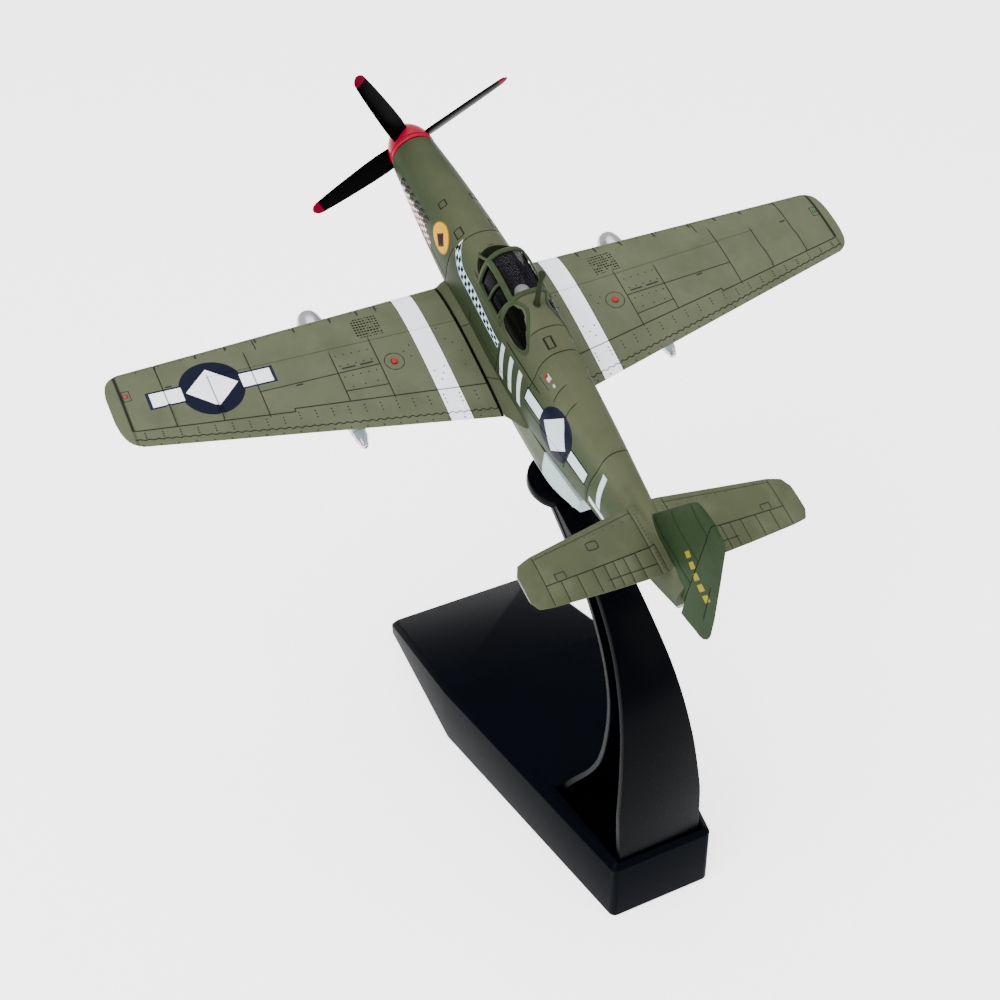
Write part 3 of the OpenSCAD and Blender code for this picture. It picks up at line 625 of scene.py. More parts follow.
def body_paint():
    p = Paint("body_olive", (126, 130, 110), rough=0.46, spec=0.03)
    worn(p, (104, 110, 90), (136, 140, 121), 0.4)
    # painted shade: below the crown the sides and lower body turn darker and greener, so the top reads as lit
    p.over((86, 101, 78), p.ramp(p.z, 8.6, 3.2), 0.75)
    p.over((176, 184, 184), p.ramp(p.attribute("under") * -1.0, -25, -22))
    port = p.y.under(0.0)
    def lay(rgb, mask, share=1.0):
        p.over(rgb, mask * port, share)
    # plain bars, a disc with a lozenge and side bands in place of letters and badges
    bars, badge = (215, 224, 228), (222, 230, 232)
    for x0 in (65.4, 69.0, 72.6):
        lay(bars, slab(p.x + p.z * 0.28, x0 + 0.2, x0 + 1.6, p.z, -3.3, 3.8))
    lay(bars, slab(p.x + p.z * 0.25, 102.6, 103.9, p.z, 0.2, 7.0))
    lay(bars, slab(p.x, 100.2, 105.4, p.z + p.x * 0.08, 6.6, 8.0))
    a, b, c = p.x - 86.9, p.y + 5.15, p.z - 2.0
    level = c - a * 0.03
    lay((40, 46, 66), slab(a, -11.2, 11.4, level, -1.55, 1.75))
    lay((44, 50, 76), (a * a + b * b + c * c).under(5.4 * 5.4))
    lay(badge, slab(a, -10.9, -5.2, level, -1.2, 1.4))
    lay(badge, slab(a, 5.2, 11.1, level, -1.2, 1.4))
    lay(badge, (a.abs() * 1.15 + c.abs()).under(4.6))
    # yellow oval and a simple darker lozenge
    u, v = (p.x - 34.9) / 3.7, (p.z - 2.9) / 2.9
    oval, lozenge = u * u + v * v, (u - 0.05).abs() * 1.2 + (v + 0.1).abs()
    lay((176, 140, 40), oval.under(1.0))
    lay((226, 196, 60), oval.under(0.85))
    lay((120, 60, 44), lozenge.under(0.62))
    lay((46, 34, 38), lozenge.under(0.42))
    check_band(p, port)
    exhaust_checks(p, port)
    # small plain data marks
    lay((205, 200, 196), slab(p.x, 78.5, 79.9, p.z, 8.7, 9.7))
    lay((180, 60, 64), slab(p.x, 78.3, 78.9, p.z, 8.5, 9.5))
    lay((200, 205, 200), slab(p.x, 80.9, 81.6, p.z, 9.0, 9.5))
    lay(WASH, slab(p.x, 77.1, 80.7, p.z, 7.35, 7.55), 0.9)
    p.wash()
    return p.done()


def check_band(p, port):
    """A white and black check band from the cowl down past the cockpit."""
    fall = p.ramp(p.x, 47.0, 40.5)
    middle = fall * fall * 2.9 + 3.5 - p.ramp(p.x, 50.0, 63.0) * 1.1
    v = p.z - middle
    half = p.ramp(p.x, 52.0, 62.0) * -0.35 + 1.05
    inside = near(p.x, 52.2, 11.7) * v.abs().under(half) * port
    p.over((214, 232, 240), inside)
    column = p.x.mod(1.9).under(0.95)
    row = v.over(0.0)
    check = (column - row).abs()
    p.over((14, 18, 24), inside * check * v.abs().under(half - 0.14))


def exhaust_checks(p, port):
    """Red and white checks on the panel under the exhaust row."""
    top = (p.x - 13.0) * 0.09 - 0.85
    taper = p.ramp(p.x, 27.0, 31.5) * 2.6
    top = top - taper
    low = (p.x - 13.0) * 0.03 - 3.6
    inside = p.z.under(top) * p.z.over(low) * near(p.x, 22.2, 9.2) * port
    column = p.x.mod(2.2).under(1.1)
    row = (p.z - (p.x - 13.0) * 0.06).mod(1.6).under(0.8)
    p.over((236, 234, 230), inside)
    p.over((156, 0, 62), inside * (column - row).abs())


def build_fillet(side):
    """The fairing between the body and a wing: a wing section that swells towards the body."""
    # each row: distance out, leading edge, trailing edge
    rows = [(3.0, 37.6, 78.0), (4.6, 37.6, 78.0), (5.6, 37.7, 77.6), (6.2, 37.9, 76.8), (6.8, 38.2, 75.8),
            (7.3, 38.6, 74.9), (7.8, 38.9, 74.2), (8.15, 39.0, 73.8)]
    root_chord, soft = 34.8, 0.004
    seams = [(c - 39) / root_chord for c in (52.0, 64.7)]
    us = np.concatenate([[0, 0.003, 0.01, 0.025, 0.05], np.arange(0.08, 0.97, 0.03),
                         *(s + np.array([-soft, 0, soft]) for s in seams), [0.97, 0.985, 1.0]])
    us = np.array(sorted(set(np.round(us, 5))))
    depth = np.maximum(*(groove(us, s, soft) for s in seams))
    half = root_chord * foil(us, 0.149) + 0.1
    sections = []
    for y, lead, trail in rows:
        rise = min(max(0.0, (8.3 - y) / 2.7), 1.6)
        swell = 1.7 * rise**1.8 * np.sin(np.pi * us) ** 0.6
        x = lead + (trail - lead) * us
        z = WING_Z + max(y, 6) * DIHEDRAL
        sections.append((xyz(x, side * y, z + half + swell - ENGRAVED * depth),
                         xyz(x, side * y, z - half - 0.35 * swell), depth, 0 * depth))
    shape, wash = skin(sections)
    piece("wing_fairing_" + word(side), shape, fairing_mat, values={"wash": wash})


# ---- fin, rudder and tailplanes --------------------------------------------------------------

FIN_TOP = 26.15


def hinge_x(z):
    return 128.4 - 0.045 * z


def fin_lead(z):
    return np.interp(z, [4, 5, 9.5, 23.5, 25.6, FIN_TOP], [108, 110.5, 112.9, 120.6, 122.0, 123.4])


def rudder_trail(z):
    return np.interp(z, [0.8, 0.95, 1.3, 2.0, 3.0, 4.2, 9, 18, 24.8, 25.8, 26.2],
                     [131.4, 132.6, 133.8, 134.9, 135.6, 135.95, 135.2, 133.2, 131.6, 131.0, 130.4])


FIN_LINES = (10.2, 16.5, 23.6)


def upright(x, half, z, depth):
    """A level section of the fin or the rudder."""
    return xyz(x, half, z), xyz(x, -half, z), depth, depth


def build_fin():
    zs = cuts(4.5, FIN_TOP - 0.5, 1.1, FIN_LINES, 0.13)
    zs = np.concatenate([zs, FIN_TOP - np.array([0.3, 0.14, 0.04, 0])])
    us = np.array([0, 0.02, 0.06, 0.12, 0.2, 0.32, 0.45, 0.6, 0.75, 0.88, 0.96, 1.0])
    sections = []
    for z in zs:
        lead, hinge = float(fin_lead(z)), hinge_x(z)
        body = (1.25 - 0.5 * z / FIN_TOP) * 0.9
        shape = np.minimum(1, (us * (hinge - lead) / 4.0) ** 0.5)
        shape = shape * np.where(us > 0.3, 1 - 0.11 * (us - 0.3) / 0.7, 1)
        top = min(1.0, max(0.0, (FIN_TOP - z) / 0.5)) ** 0.4
        depth = max(groove(z, line, 0.13) for line in FIN_LINES) * (us > 0.05)
        half = body * shape * (0.25 + 0.75 * top) - 0.08 * depth
        sections.append(upright(lead + (hinge - lead) * us, half, z, depth))
    shape, wash = skin(sections)
    piece("fin", shape, fin_mat, values={"wash": wash})


def build_rudder():
    zs = sorted(set(cuts(0.8, 26.2, 1.0, [])) | {0.87, 0.95, 1.1, 1.3, 1.6, 2.0, 3.0, 25.9, 26.08})
    us = np.array([0, 0.015, 0.05, 0.12, 0.2, 0.24, 0.27, 0.30, 0.4, 0.55, 0.66, 0.69, 0.72, 0.85, 0.95, 1.0])
    sections = []
    for z in zs:
        front, back = hinge_x(z) + 0.15, float(rudder_trail(z))
        root = float(np.interp(z, [0.8, 4.2, 9, 18, 24.8, 26.2], [0.9, 1.0, 1.0, 0.8, 0.62, 0.5]))
        ends = min(1.0, (z - 0.8) / 0.6 + 0.3, (26.2 - z) / 0.35 + 0.45)
        half = root * ends * np.maximum(1 - us**1.3, 0.16) * np.minimum(1, us * 40 + 0.3) ** 0.5
        depth = np.isclose(us, 0.69) * float(6.0 < z < 15.0)
        half = np.maximum(half - 0.07 * depth, 0.04)
        sections.append(upright(front + (back - front) * us, half, z, depth))
    shape, wash = skin(sections)
    piece("rudder_skin", shape, fin_mat, hides=("rudder",), values={"wash": wash})


TAIL = [[0.05, 109, 122.5, 1.5], [3, 109.3, 124, 1.5], [14, 111.1, 123.6, 1.3], [24, 112.7, 123, 1.05],
        [26.2, 113.6, 122.6, 0.85], [27.1, 115.4, 121, 0.5]]


TAIL_Z, TAIL_RIBS, TAIL_ROOT = 8.15, [3.4, 6.3, 8.6, 10.6, 12.4, 14.6, 17.6, 20.6, 23.4], 2.2


# Lines along the tailplane: chord fraction, how deep, and the first and last distance out.
TAIL_LINES = [(0.102, 0.6, 3.4, 23.5), (0.618, 1.0, 2.2, 23.5), (0.847, 0.8, 3.4, 13.0)]


def tail_section(y):
    """The leading edge, the chord and the half thickness along it at y."""
    lead, trail, thick = (float(table(TAIL, y, c)) for c in (1, 2, 3))
    chord = trail - lead
    def half(u):
        edge = np.clip((1 - u) * 20, 0.4, 1) * np.clip(u * 50, 0, 1)
        return chord * foil(u, thick / chord * 0.8) + 0.12 * edge
    return lead, chord, half


def build_tailplane(side):
    ys = cuts(0.3, 25.0, 1.2, TAIL_RIBS + [TAIL_ROOT], 0.13)
    ys = np.concatenate([ys, [25.4, 25.8, 26.2, 26.5, 26.75, 26.92, 27.05, 27.1]])
    us = np.array([0, 0.004, 0.015, 0.035, 0.06, 0.09, 0.102, 0.114, 0.16, 0.24, 0.34, 0.44, 0.54, 0.606, 0.618,
                   0.63, 0.68, 0.74, 0.80, 0.835, 0.847, 0.859, 0.92, 0.97, 1.0])
    sections = []
    for y in ys:
        lead, chord, half = tail_section(y)
        x, half = lead + chord * us, half(us)
        depth = groove(y, TAIL_ROOT, 0.13) * (us > 0.62)
        for u, strength, y0, y1 in TAIL_LINES:
            depth = np.maximum(depth, np.isclose(us, u) * strength * (y0 <= y <= y1))
        for rib in TAIL_RIBS:
            reach = (us > 0.05) & (us < 1) if rib in (3.4, 23.4) else (us > 0.62) & (us < 0.99)
            depth = np.maximum(depth, groove(y, rib, 0.13) * reach * 0.85)
        sections.append((xyz(x, side * y, TAIL_Z + half - 0.1 * depth),
                         xyz(x, side * y, TAIL_Z - half + 0.1 * depth), depth, depth))
    shape, wash = skin(sections)
    name = "tailplane_" + word(side)
    low = np.concatenate([np.zeros(len(us)), (us[::-1] > 0.013) & (us[::-1] < 0.98)])
    piece(name + "_skin", shape, tail_mat, hides=(name,),
          values={"wash": wash, "under": np.tile(low, len(ys))})


def simple_paint(name, rgb, dark, light, rough=0.45, spec=0.06, extra=None):
    p = Paint(name, rgb, rough=rough, spec=spec)
    worn(p, dark, light, 0.4)
    if extra:
        extra(p)
    p.wash()
    return p.done()


def pale_below(p):
    p.over((190, 203, 203), p.attribute("under").over(0.5))


def fin_marks(p):
    """A row of five short yellow dashes on the port side."""
    s = (p.z - 10.5) * 0.9 + (p.x - 124.5) * 0.42
    t = (p.x - 124.5) * 0.9 - (p.z - 10.5) * 0.42
    dashes = near(s, 4.0, 0.85) * t.mod(2.0).under(1.25) * near(t, 3.0, 4.9)
    p.over((176, 168, 70), dashes * p.y.under(0.0))


# The fuel caps, in the wing.
CAP_X, CAP_Y = 56.34, 24.23


def cap_paint():
    """Red in the middle of each fuel cap and the wing's colour on its rim."""
    p = Paint("cap_red", OLIVE, rough=0.45, spec=0.06)
    worn(p, OLIVE_DARK, OLIVE_LIGHT, 0.3)
    a, b = p.x - CAP_X, p.y.abs() - CAP_Y
    p.over((30, 30, 26), (a * a + b * b).under(0.72 * 0.72))
    p.over((206, 60, 84), (a * a + b * b).under(0.62 * 0.62))
    return p.done()


def belly_paint():
    """Olive ahead and pale grey under the tail end of the scoop."""
    p = Paint("belly_grey", (200, 214, 214), rough=0.42, spec=0.06)
    worn(p, (160, 172, 172), (220, 230, 230), 0.3)
    aft = p.x * -COS - p.z * SIN + (NOSE[0] * COS + NOSE[2] * SIN) * 1000
    lift = p.x * -SIN + p.z * COS + (NOSE[0] * SIN - NOSE[2] * COS) * 1000
    p.over((108, 117, 92), aft.under(84.5) * lift.over(-13.4))
    return p.done()


def glass_paint(name, rgb, rough, alpha, spec):
    p = Paint(name, rgb, rough=rough, spec=spec)
    p.shader.inputs["Alpha"].default_value = alpha
    p.over(tuple(min(255, c * 1.3 + 6) for c in rgb), p.ramp(p.noise(0.25, 3), 0.45, 0.75), 0.35)
    p.rough = p.rough + p.noise(0.8, 2) * 0.06
    return p.done()


# ---- turned and swept shapes -----------------------------------------------------------------

def turned_shape(profile, n=64):
    """Rings about the X axis through (distance, radius) pairs, in the aircraft's frame."""
    a = turns(n)
    return loft([xyz(x, r * np.cos(a), r * np.sin(a)) for x, r in profile])


def joined(parts):
    """Several (points, faces) pairs as one."""
    points, faces, base = [], [], 0
    for p, f in parts:
        points.append(np.asarray(p, float))
        faces += [tuple(i + base for i in q) for q in f]
        base += len(p)
    return np.concatenate(points), faces


def strip(spots, width, height):
    """A rounded bar that lies along (point, normal) spots on a surface."""
    sink = 0.12
    path, normals = (np.array(v, float) for v in zip(*spots))
    along = np.gradient(path, axis=0)
    along /= np.linalg.norm(along, axis=1)[:, None]
    across = np.cross(along, normals)
    across /= np.linalg.norm(across, axis=1)[:, None]
    shape = [(-0.5, -sink), (-0.5, 0.55 * height), (-0.38, 0.9 * height), (-0.2, height), (0.2, height),
             (0.38, 0.9 * height), (0.5, 0.55 * height), (0.5, -sink)]
    return loft([[p + a * s * width + n * h for s, h in shape] for p, a, n in zip(path, across, normals)])


def cabin_point(x, y_side, out=0.0):
    """A point of the cabin's skin at a signed angle-like place from -1 (port foot) to 1 (starboard foot)."""
    crown, hw = spine_at(x)
    a = math.radians(90 - 90 * y_side)
    c, s = math.cos(a), math.sin(a)
    e = 2 / SPINE_POWER
    y = (hw + out) * math.copysign(abs(c) ** e, c)
    z = SPINE_FOOT + (crown + out - SPINE_FOOT) * max(s, 0) ** e
    return np.array([x, y, z])


def cabin_place(x, z=None, y=None):
    """The place from 0 to 1 across the cabin at which its skin has that height or that distance out."""
    lo, hi = 0.0, 1.0
    for _ in range(40):
        m = (lo + hi) / 2
        p = cabin_point(x, m)
        beyond = p[2] < z if z is not None else p[1] > y
        lo, hi = (lo, m) if beyond else (m, hi)
    return (lo + hi) / 2


def cabin_normal(x, v):
    d = 0.02
    a = cabin_point(x + 0.1, v) - cabin_point(x - 0.1, v)
    b = cabin_point(x, min(v + d, 1)) - cabin_point(x, max(v - d, -1))
    n = unit(np.cross(a, b))
    out = cabin_point(x, v) - np.array([x, 0, SPINE_FOOT + 2])
    return n if np.dot(n, out) > 0 else -n


def cabin_bar(stops, width, height, steps):
    """A bar over the cabin through (x, place) stops."""
    t = np.linspace(0, len(stops) - 1, steps)
    xs, vs = (np.interp(t, range(len(stops)), column) for column in zip(*stops))
    return strip([(cabin_point(x, v, -0.06), cabin_normal(x, v)) for x, v in zip(xs, vs)], width, height)


def cabin_patch(x0, x1, v0, v1, nv, out):
    """A sheet of the cabin's skin, 0.35 mm thick, between two stations and two places."""
    rings = []
    for x in np.linspace(x0, x1, 16):
        vs = np.linspace(v0(x), v1(x), nv)
        rings.append([cabin_point(x, v, out) for v in vs] + [cabin_point(x, v, out - 0.35) for v in vs[::-1]])
    return loft(rings)


SILL_Z = 6.1
LONGERON_Y = 3.7


def build_cabin():
    """Windscreen, sliding canopy and rear side windows, with raised frames over dark panes."""
    def sill(x):
        return cabin_place(x, z=min(SILL_Z, spine_at(x)[0] - 0.5))
    def rail(x):
        return cabin_place(x, y=min(LONGERON_Y, 0.93 * spine_at(x)[1]))
    def port(edge):
        return lambda x: -edge(x)
    front, rear, out = SCREEN_REAR + 0.1, CAB_REAR - 0.1, -0.32
    piece("windscreen_panes", cabin_patch(44.75, SCREEN_REAR, port(sill), sill, 31, -0.3), pane_mat,
          hides=("windscreen",))
    piece("canopy_roof_glass", cabin_patch(front, rear, port(rail), rail, 15, out), roof_mat,
          hides=("canopy_glass",))
    sides = [cabin_patch(front, rear, a, b, 9, out) for a, b in ((rail, sill), (port(sill), port(rail)))]
    piece("canopy_side_glass", joined(sides), side_glass_shade_mat)
    bars = []
    for s in (-1, 1):
        def low(x):
            return x, s * sill(x)
        def high(x):
            return x, s * rail(x)
        bars += [cabin_bar([low(x) for x in (45.5, 48.5, 51.4, 56, 62.2)], 1.2, 0.34, 24),
                 cabin_bar([high(x) for x in (51.2, 54, 58, 62.3)], 1.25, 0.34, 20),
                 cabin_bar([(45.3, s * 0.52), (48.2, s * 0.50), high(51.2)], 0.55, 0.26, 14),
                 cabin_bar([low(56.0), high(57.3)], 0.5, 0.26, 12),
                 cabin_bar([low(60.6), high(62.0)], 0.7, 0.28, 12)]
    for x, width, height in ((51.3, 1.15, 0.36), (61.95, 1.0, 0.34)):
        bars.append(cabin_bar([(x, -sill(x)), (x, 0), (x, sill(x))], width, height, 40))
    bars.append(cabin_bar([(45.0, -0.72), (44.95, 0), (45.0, 0.72)], 0.5, 0.25, 30))
    piece("canopy_bars", joined(bars), frame_mat, hides=("canopy_frame",))


def drop_outline(grow):
    """The rear side window's outline, round end forwards, as (x, z)."""
    u, v = np.cos(turns(48)), np.sin(turns(48))
    return list(zip(66.5 + (4.9 + grow) * u, 9.0 + (3.0 + grow) * v * (1 - 0.35 * u) - 0.5 * u))


def spine_side(x, z, side, out=0.0):
    """The point of the spine's side at that station and height, and its normal."""
    x = max(x, CAB_REAR - 0.8)
    crown, hw = spine_at(x)
    k = min(0.999, max(z - SPINE_FOOT, 0) / (crown - SPINE_FOOT))
    y = hw * (1 - k ** SPINE_POWER) ** (1 / SPINE_POWER)
    normal = unit([0, y / hw**2 + 0.02, 1.3 * (z - SPINE_FOOT) / (crown - SPINE_FOOT) ** 2 * 0.9])
    mirror = np.array([1, side, 1])
    return (np.array([x, y, z]) + normal * out) * mirror, normal * mirror


def build_rear_window(side):
    name = "rear_window_" + word(side)
    def ring(k, out):
        return [spine_side(66.7 + (x - 66.7) * k, 9.0 + (z - 9.0) * k, side, out)[0]
                for x, z in drop_outline(0)]
    rings = [ring(1, -0.5), ring(1, -0.05)] + [ring(k, 0.05) for k in (0.86, 0.7, 0.5, 0.3, 0.1)]
    piece(name + "_pane", loft(rings), side_glass_shade_mat, hides=(name,))
    rim = drop_outline(0.28)
    rim = strip([spine_side(x, z, side) for x, z in rim + rim[:1]], 0.65, 0.2)
    piece(name + "_rim", rim, frame_mat)


# ---- propeller -------------------------------------------------------------------------------

HUB_X, PLATE_X, SPINNER_R, BLADE_TURN = 5.28, 7.2, 5.0, 120.9
# Each row: distance out, chord, angle from the plane of rotation.
BLADE = [[4.7, 4.3, 28], [7, 4.6, 27], [11, 4.4, 26], [16, 3.9, 24], [20, 3.4, 22], [23.2, 2.8, 20],
         [24.4, 2.1, 20], [25, 1.0, 20]]


def spinner_radius(x):
    return SPINNER_R * np.sin(np.pi / 2 * (x / PLATE_X) ** 0.9) ** 0.62


def build_spinner():
    profile = [(0.0, 0.02)] + [(x, spinner_radius(x)) for x in (0.02, 0.06, 0.13, 0.25)]
    profile += [(x, spinner_radius(x)) for x in np.linspace(0.45, 6.85, 26)]
    profile += [(6.95, spinner_radius(6.95)), (7.0, 4.86), (7.08, 4.86), (7.13, spinner_radius(7.1)),
                (7.18, 4.98)]
    plate = [(7.22, 4.2), (7.22, 4.9), (7.3, 5.0), (7.95, 5.0), (8.08, 4.9), (8.09, 4.2)]
    for name, rows, node in (("spinner_cone", profile, "spinner"), ("spinner_plate", plate, "backplate")):
        piece(name, turned_shape(rows, 96), red_mat, "propeller", hides=(node,))


def build_blade(i):
    turn = math.radians(BLADE_TURN + 90 * i)
    a = turns(24)
    rings = []
    for r in [*np.linspace(4.7, 22.6, 16), 23.2, 23.7, 24.1, 24.4, 24.62, 24.8, 24.92, 24.99]:
        chord = float(table(BLADE, r, 1))
        if r > 23.0:
            chord = 2.85 * math.sqrt(max(0.02, 1 - ((r - 23.0) / 2.0) ** 2))
        pitch = math.radians(float(table(BLADE, r, 2)))
        thick = (0.5 - 0.012 * r) * (1 if r < 24 else max(0.3, 25.1 - r))
        u, v = chord / 2 * np.cos(a), thick * np.sin(a) * (1.1 + 0.3 * np.cos(a))
        x, t = u * math.sin(pitch) + v * math.cos(pitch), u * math.cos(pitch) - v * math.sin(pitch)
        reach = r
        if r < 4.8:
            surface = spinner_radius(np.minimum(HUB_X + x, PLATE_X))
            reach = np.sqrt(np.maximum(surface**2 - t * t, 1)) + 0.03
        rings.append(xyz(HUB_X + x, reach * math.cos(turn) - t * math.sin(turn),
                         reach * math.sin(turn) + t * math.cos(turn)))
    name = f"blade_{i + 1}"
    piece(name + "_skin", loft(rings), blade_mat, "propeller", hides=(name,))


def blade_paint():
    p = Paint("blade_satin_black", (16, 16, 18), rough=0.36, spec=0.02)
    worn(p, (8, 8, 9), (30, 30, 33), 0.4)
    far = (p.y * p.y + p.z * p.z).root()
    p.over((150, 12, 74), far.over(22.9))
    return p.done()


# ---- drop tanks, exhausts and small pieces ---------------------------------------------------

TANK_L, TANK_R, TANK_Y, TANK_DIP = 33.6, 3.4, 34.2, math.radians(4.88)


def tank_radius(u):
    return TANK_R * math.sin(math.pi * u ** 0.6) ** 0.5


def on_tank(points, side):
    """Points of a shape along X, placed under a wing with its nose down a little."""
    x, y, z = points.T
    c, s = math.cos(TANK_DIP), math.sin(TANK_DIP)
    return xyz(33.9 + x * c + z * s, side * TANK_Y + y, -10.2 - x * s + z * c)


def build_tank(side):
    profile = []
    for u in [0.0005, 0.003, 0.008, 0.016, 0.03, *np.linspace(0.05, 0.88, 34), 0.897]:
        bands = sum(0.1 * max(0, 1 - abs(u - c) / 0.012) for c in (0.34, 0.52))
        profile.append((u * TANK_L, tank_radius(u) + bands))
    end = tank_radius(0.9)
    tail = [(0.9 * TANK_L + 0.02, end), (0.9 * TANK_L + 0.3, end * 0.97), (0.94 * TANK_L, 1.35),
            (0.965 * TANK_L, 1.0), (TANK_L - 0.5, 0.78), (TANK_L - 0.15, 0.66), (TANK_L, 0.45)]
    for kind, rows, n, node in (("shell", profile, 64, "tank_"), ("cone", tail, 48, "tank_tail_")):
        points, faces = turned_shape(rows, n)
        piece(f"tank_{word(side)}_{kind}", (on_tank(points, side), faces), tank_mat,
              hides=(node + word(side),))


STACK_TILT = math.radians(6)


def build_exhaust(side):
    """Six flattened stubs, angled back, on their backing strip."""
    c, s = math.cos(STACK_TILT), math.sin(STACK_TILT)
    def place(along, out, up):
        return xyz(13.4 + along * c - up * s, side * np.asarray(out), -0.15 + along * s + up * c)
    def rounded(v):
        return np.sign(v) * np.abs(v) ** 0.4
    outs, ups = np.array([4.62, 5.0, 5.0, 4.62]), np.array([-1, -1, 1, 1])
    parts = [loft([place(a, outs, ups * h) for a, h in ((0.05, 1.0), (0.2, 1.1), (15.1, 1.1), (15.25, 1.0))])]
    mats = [0] * len(parts[0][1])
    across, up = 0.95 * rounded(np.cos(turns(20))), 0.72 * rounded(np.sin(turns(20)))
    for stop in (1.6, 4.15, 6.65, 9.2, 11.7, 14.1):
        reach = 0.95 + 0.05 * stop
        rings = []
        for out, grow in ((0.0, 0.92), (0.5 * reach, 1.0), (reach - 0.12, 1.0), (reach, 0.93), (reach, 0.66),
                          (reach - 0.5, 0.6)):
            u = across * grow
            rings.append(place(stop + 0.62 * out + u * 0.88, 4.75 + out * 0.86 - u * 0.4, up * grow))
        parts.append(loft(rings))
        count = len(parts[-1][1])
        # the faces inside each stub's open end take the second material, a light grey painted highlight
        mats += [1 if i >= 80 and i != count - 2 else 0 for i in range(count)]
    piece(f"exhaust_{word(side)}_stubs", joined(parts), [exhaust_mat, stub_lip_highlight_mat],
          hides=(f"exhaust_{word(side)}",), face_mats=mats)


def build_mast():
    a = turns(32)
    rows = [(11.6, 1.0), (12.7, 1.02), (12.95, 0.95), (13.1, 0.72), (13.6, 0.66), (16.0, 0.62), (20.2, 0.55),
            (20.35, 0.7), (20.55, 0.86), (20.95, 0.86), (21.2, 0.7), (21.38, 0.4)]
    rings = [xyz(64.8 + r * np.cos(a), 0.78 * r * np.sin(a), z) for z, r in rows]
    piece("mast_and_collar", loft(rings), mast_mat, hides=("antenna_mast",))


def button(point, normal, across, rows, n):
    """A low turned shape on a surface, from (radius, height) rows."""
    normal = unit(normal)
    a = unit(np.cross(normal, across))
    b = np.cross(normal, a)
    t = turns(n)[:, None]
    return loft([np.array(point) + normal * h + r * (np.cos(t) * a + np.sin(t) * b) for r, h in rows])


def dots(spots, radius, height):
    """Low domes at (point, normal) spots."""
    rows = ((radius, -0.05), (radius, 0.4 * height), (0.55 * radius, height))
    return joined([button(p, normal, (0.3, 1, 0.1), rows, 8) for p, normal in spots])


def wing_spot(x, y, side):
    """The point of the wing's top at that place, and its normal."""
    lead, chord = wing_lead(y), wing_trail(y) - wing_lead(y)
    u = (x - lead) / chord
    z, z2 = (float(wing_at(np.array(v), np.array(float(y)), True)[1]) for v in (u, u + 0.01))
    return (x, side * y, z), unit((-(z2 - z) / (0.01 * chord), -side * DIHEDRAL, 1.0))


# Single rivets on the wing's top, as (X, distance out).
WING_RIVETS = [(54, 12.5), (51, 13.2), (53.5, 20), (56.0, 20.6), (54.6, 21.6), (60.5, 17.5), (61.5, 16.0),
               (60, 15.2), (62.8, 16.8), (57.5, 10.4), (55.2, 11.4), (60.8, 11.0)]


def wing_rivets(side):
    """Rivet triplets ahead of the hinge line, rows round the gun doors, and small raised marks."""
    spots = []
    for y in 11.7 + 3.12 * np.arange(21):
        lead, chord = wing_lead(y), wing_trail(y) - wing_lead(y)
        u0 = 0.818 if y < STEP_Y else 0.845
        spots += [(lead + chord * (u0 + 0.027 * j), y) for j in range(3)] + [(lead + chord * 0.977, y + 1.0)]
    spots += [(x, y) for y in np.linspace(28.3, 34.8, 5) for x in (52.2, 54.6, 57.3)]
    spots += [(59.7, y) for y in (29.0, 31.5, 34.0)] + WING_RIVETS
    spots += [(wing_lead(y) + 1.1, y) for y in np.arange(10, 76, 4.4)]
    piece(f"rivets_{word(side)}", dots([wing_spot(x, y, side) for x, y in spots], 0.17, 0.05), rivet_mat)
    def mark(places, width, height):
        return strip([wing_spot(x, y, side) for x, y in places], width, height)
    marks = [mark([(x, y) for y in np.linspace(y0, y1, 5)], 0.3, 0.1)
             for x, y0, y1 in ((55.3, 28.3, 30.9), (55.3, 31.9, 34.6), (56.6, 43.0, 44.3), (50.4, 66.4, 67.6))]
    square = [(49.3, 74.2), (49.3, 75.6), (51.6, 75.6), (51.6, 74.2), (49.3, 74.2)]
    marks += [mark(ends, 0.16, 0.05) for ends in zip(square, square[1:])]
    for k in range(0, 14, 2):
        arc = np.linspace(k, k + 0.8, 4) * math.pi / 7
        marks.append(mark([(CAP_X + 1.95 * math.cos(t), CAP_Y + 1.95 * math.sin(t)) for t in arc], 0.2, 0.06))
    piece(f"wing_marks_{word(side)}", joined(marks), rivet_mat)


def tail_spot(x, y, side):
    lead, chord, half = tail_section(y)
    return np.array([x, side * y, TAIL_Z + float(half((x - lead) / chord))]), np.array([0, 0, 1.0])


def tail_details(side):
    """A raised hatch, the hinge's stepped ends and a seam of dots at the root."""
    lines = [([(118.7, 19.4), (117.5, 19.4), (117.5, 21.2), (118.8, 21.2)], 0.18, 0.07),
             ([(113.4, 1.4), (113.4, 0.9), (122.0, 0.9)], 0.16, 0.05)]
    if side < 0:
        hatch = [(114.0, 11.6), (113.85, 12.0), (113.85, 13.2), (114.0, 13.6), (115.2, 13.7), (115.45, 13.3),
                 (115.45, 12.0), (115.2, 11.6), (114.0, 11.6)]
        lines.insert(0, (hatch, 0.2, 0.08))
    parts = [strip([tail_spot(*a, side), tail_spot(*b, side)], width, height)
             for places, width, height in lines for a, b in zip(places, places[1:])]
    spots = [tail_spot(x, 2.7, side) for x in np.arange(111.5, 123.0, 0.75)]
    spots += [tail_spot(112.1 + 0.11 * k, 3.6 + k * 1.9, side) for k in range(11)]
    piece(f"tail_rivets_{word(side)}", joined(parts + [dots(spots, 0.12, 0.05)]), rivet_mat)


def build_cap(side):
    """The low fuel cap: a dark rim, a groove and a red button."""
    rows = ((0.88, -0.2), (0.88, 0.02), (0.84, 0.07), (0.76, 0.07), (0.7, 0.0), (0.64, 0.0), (0.62, 0.16),
            (0.54, 0.22), (0.3, 0.26), (0.05, 0.27))
    name = "fuel_cap_" + word(side)
    piece(name + "_button", button(*wing_spot(CAP_X, CAP_Y, side), (0, 1, 0), rows, 36), cap_mat,
          hides=(name,), sharp=50)


# ---- stand -----------------------------------------------------------------------------------

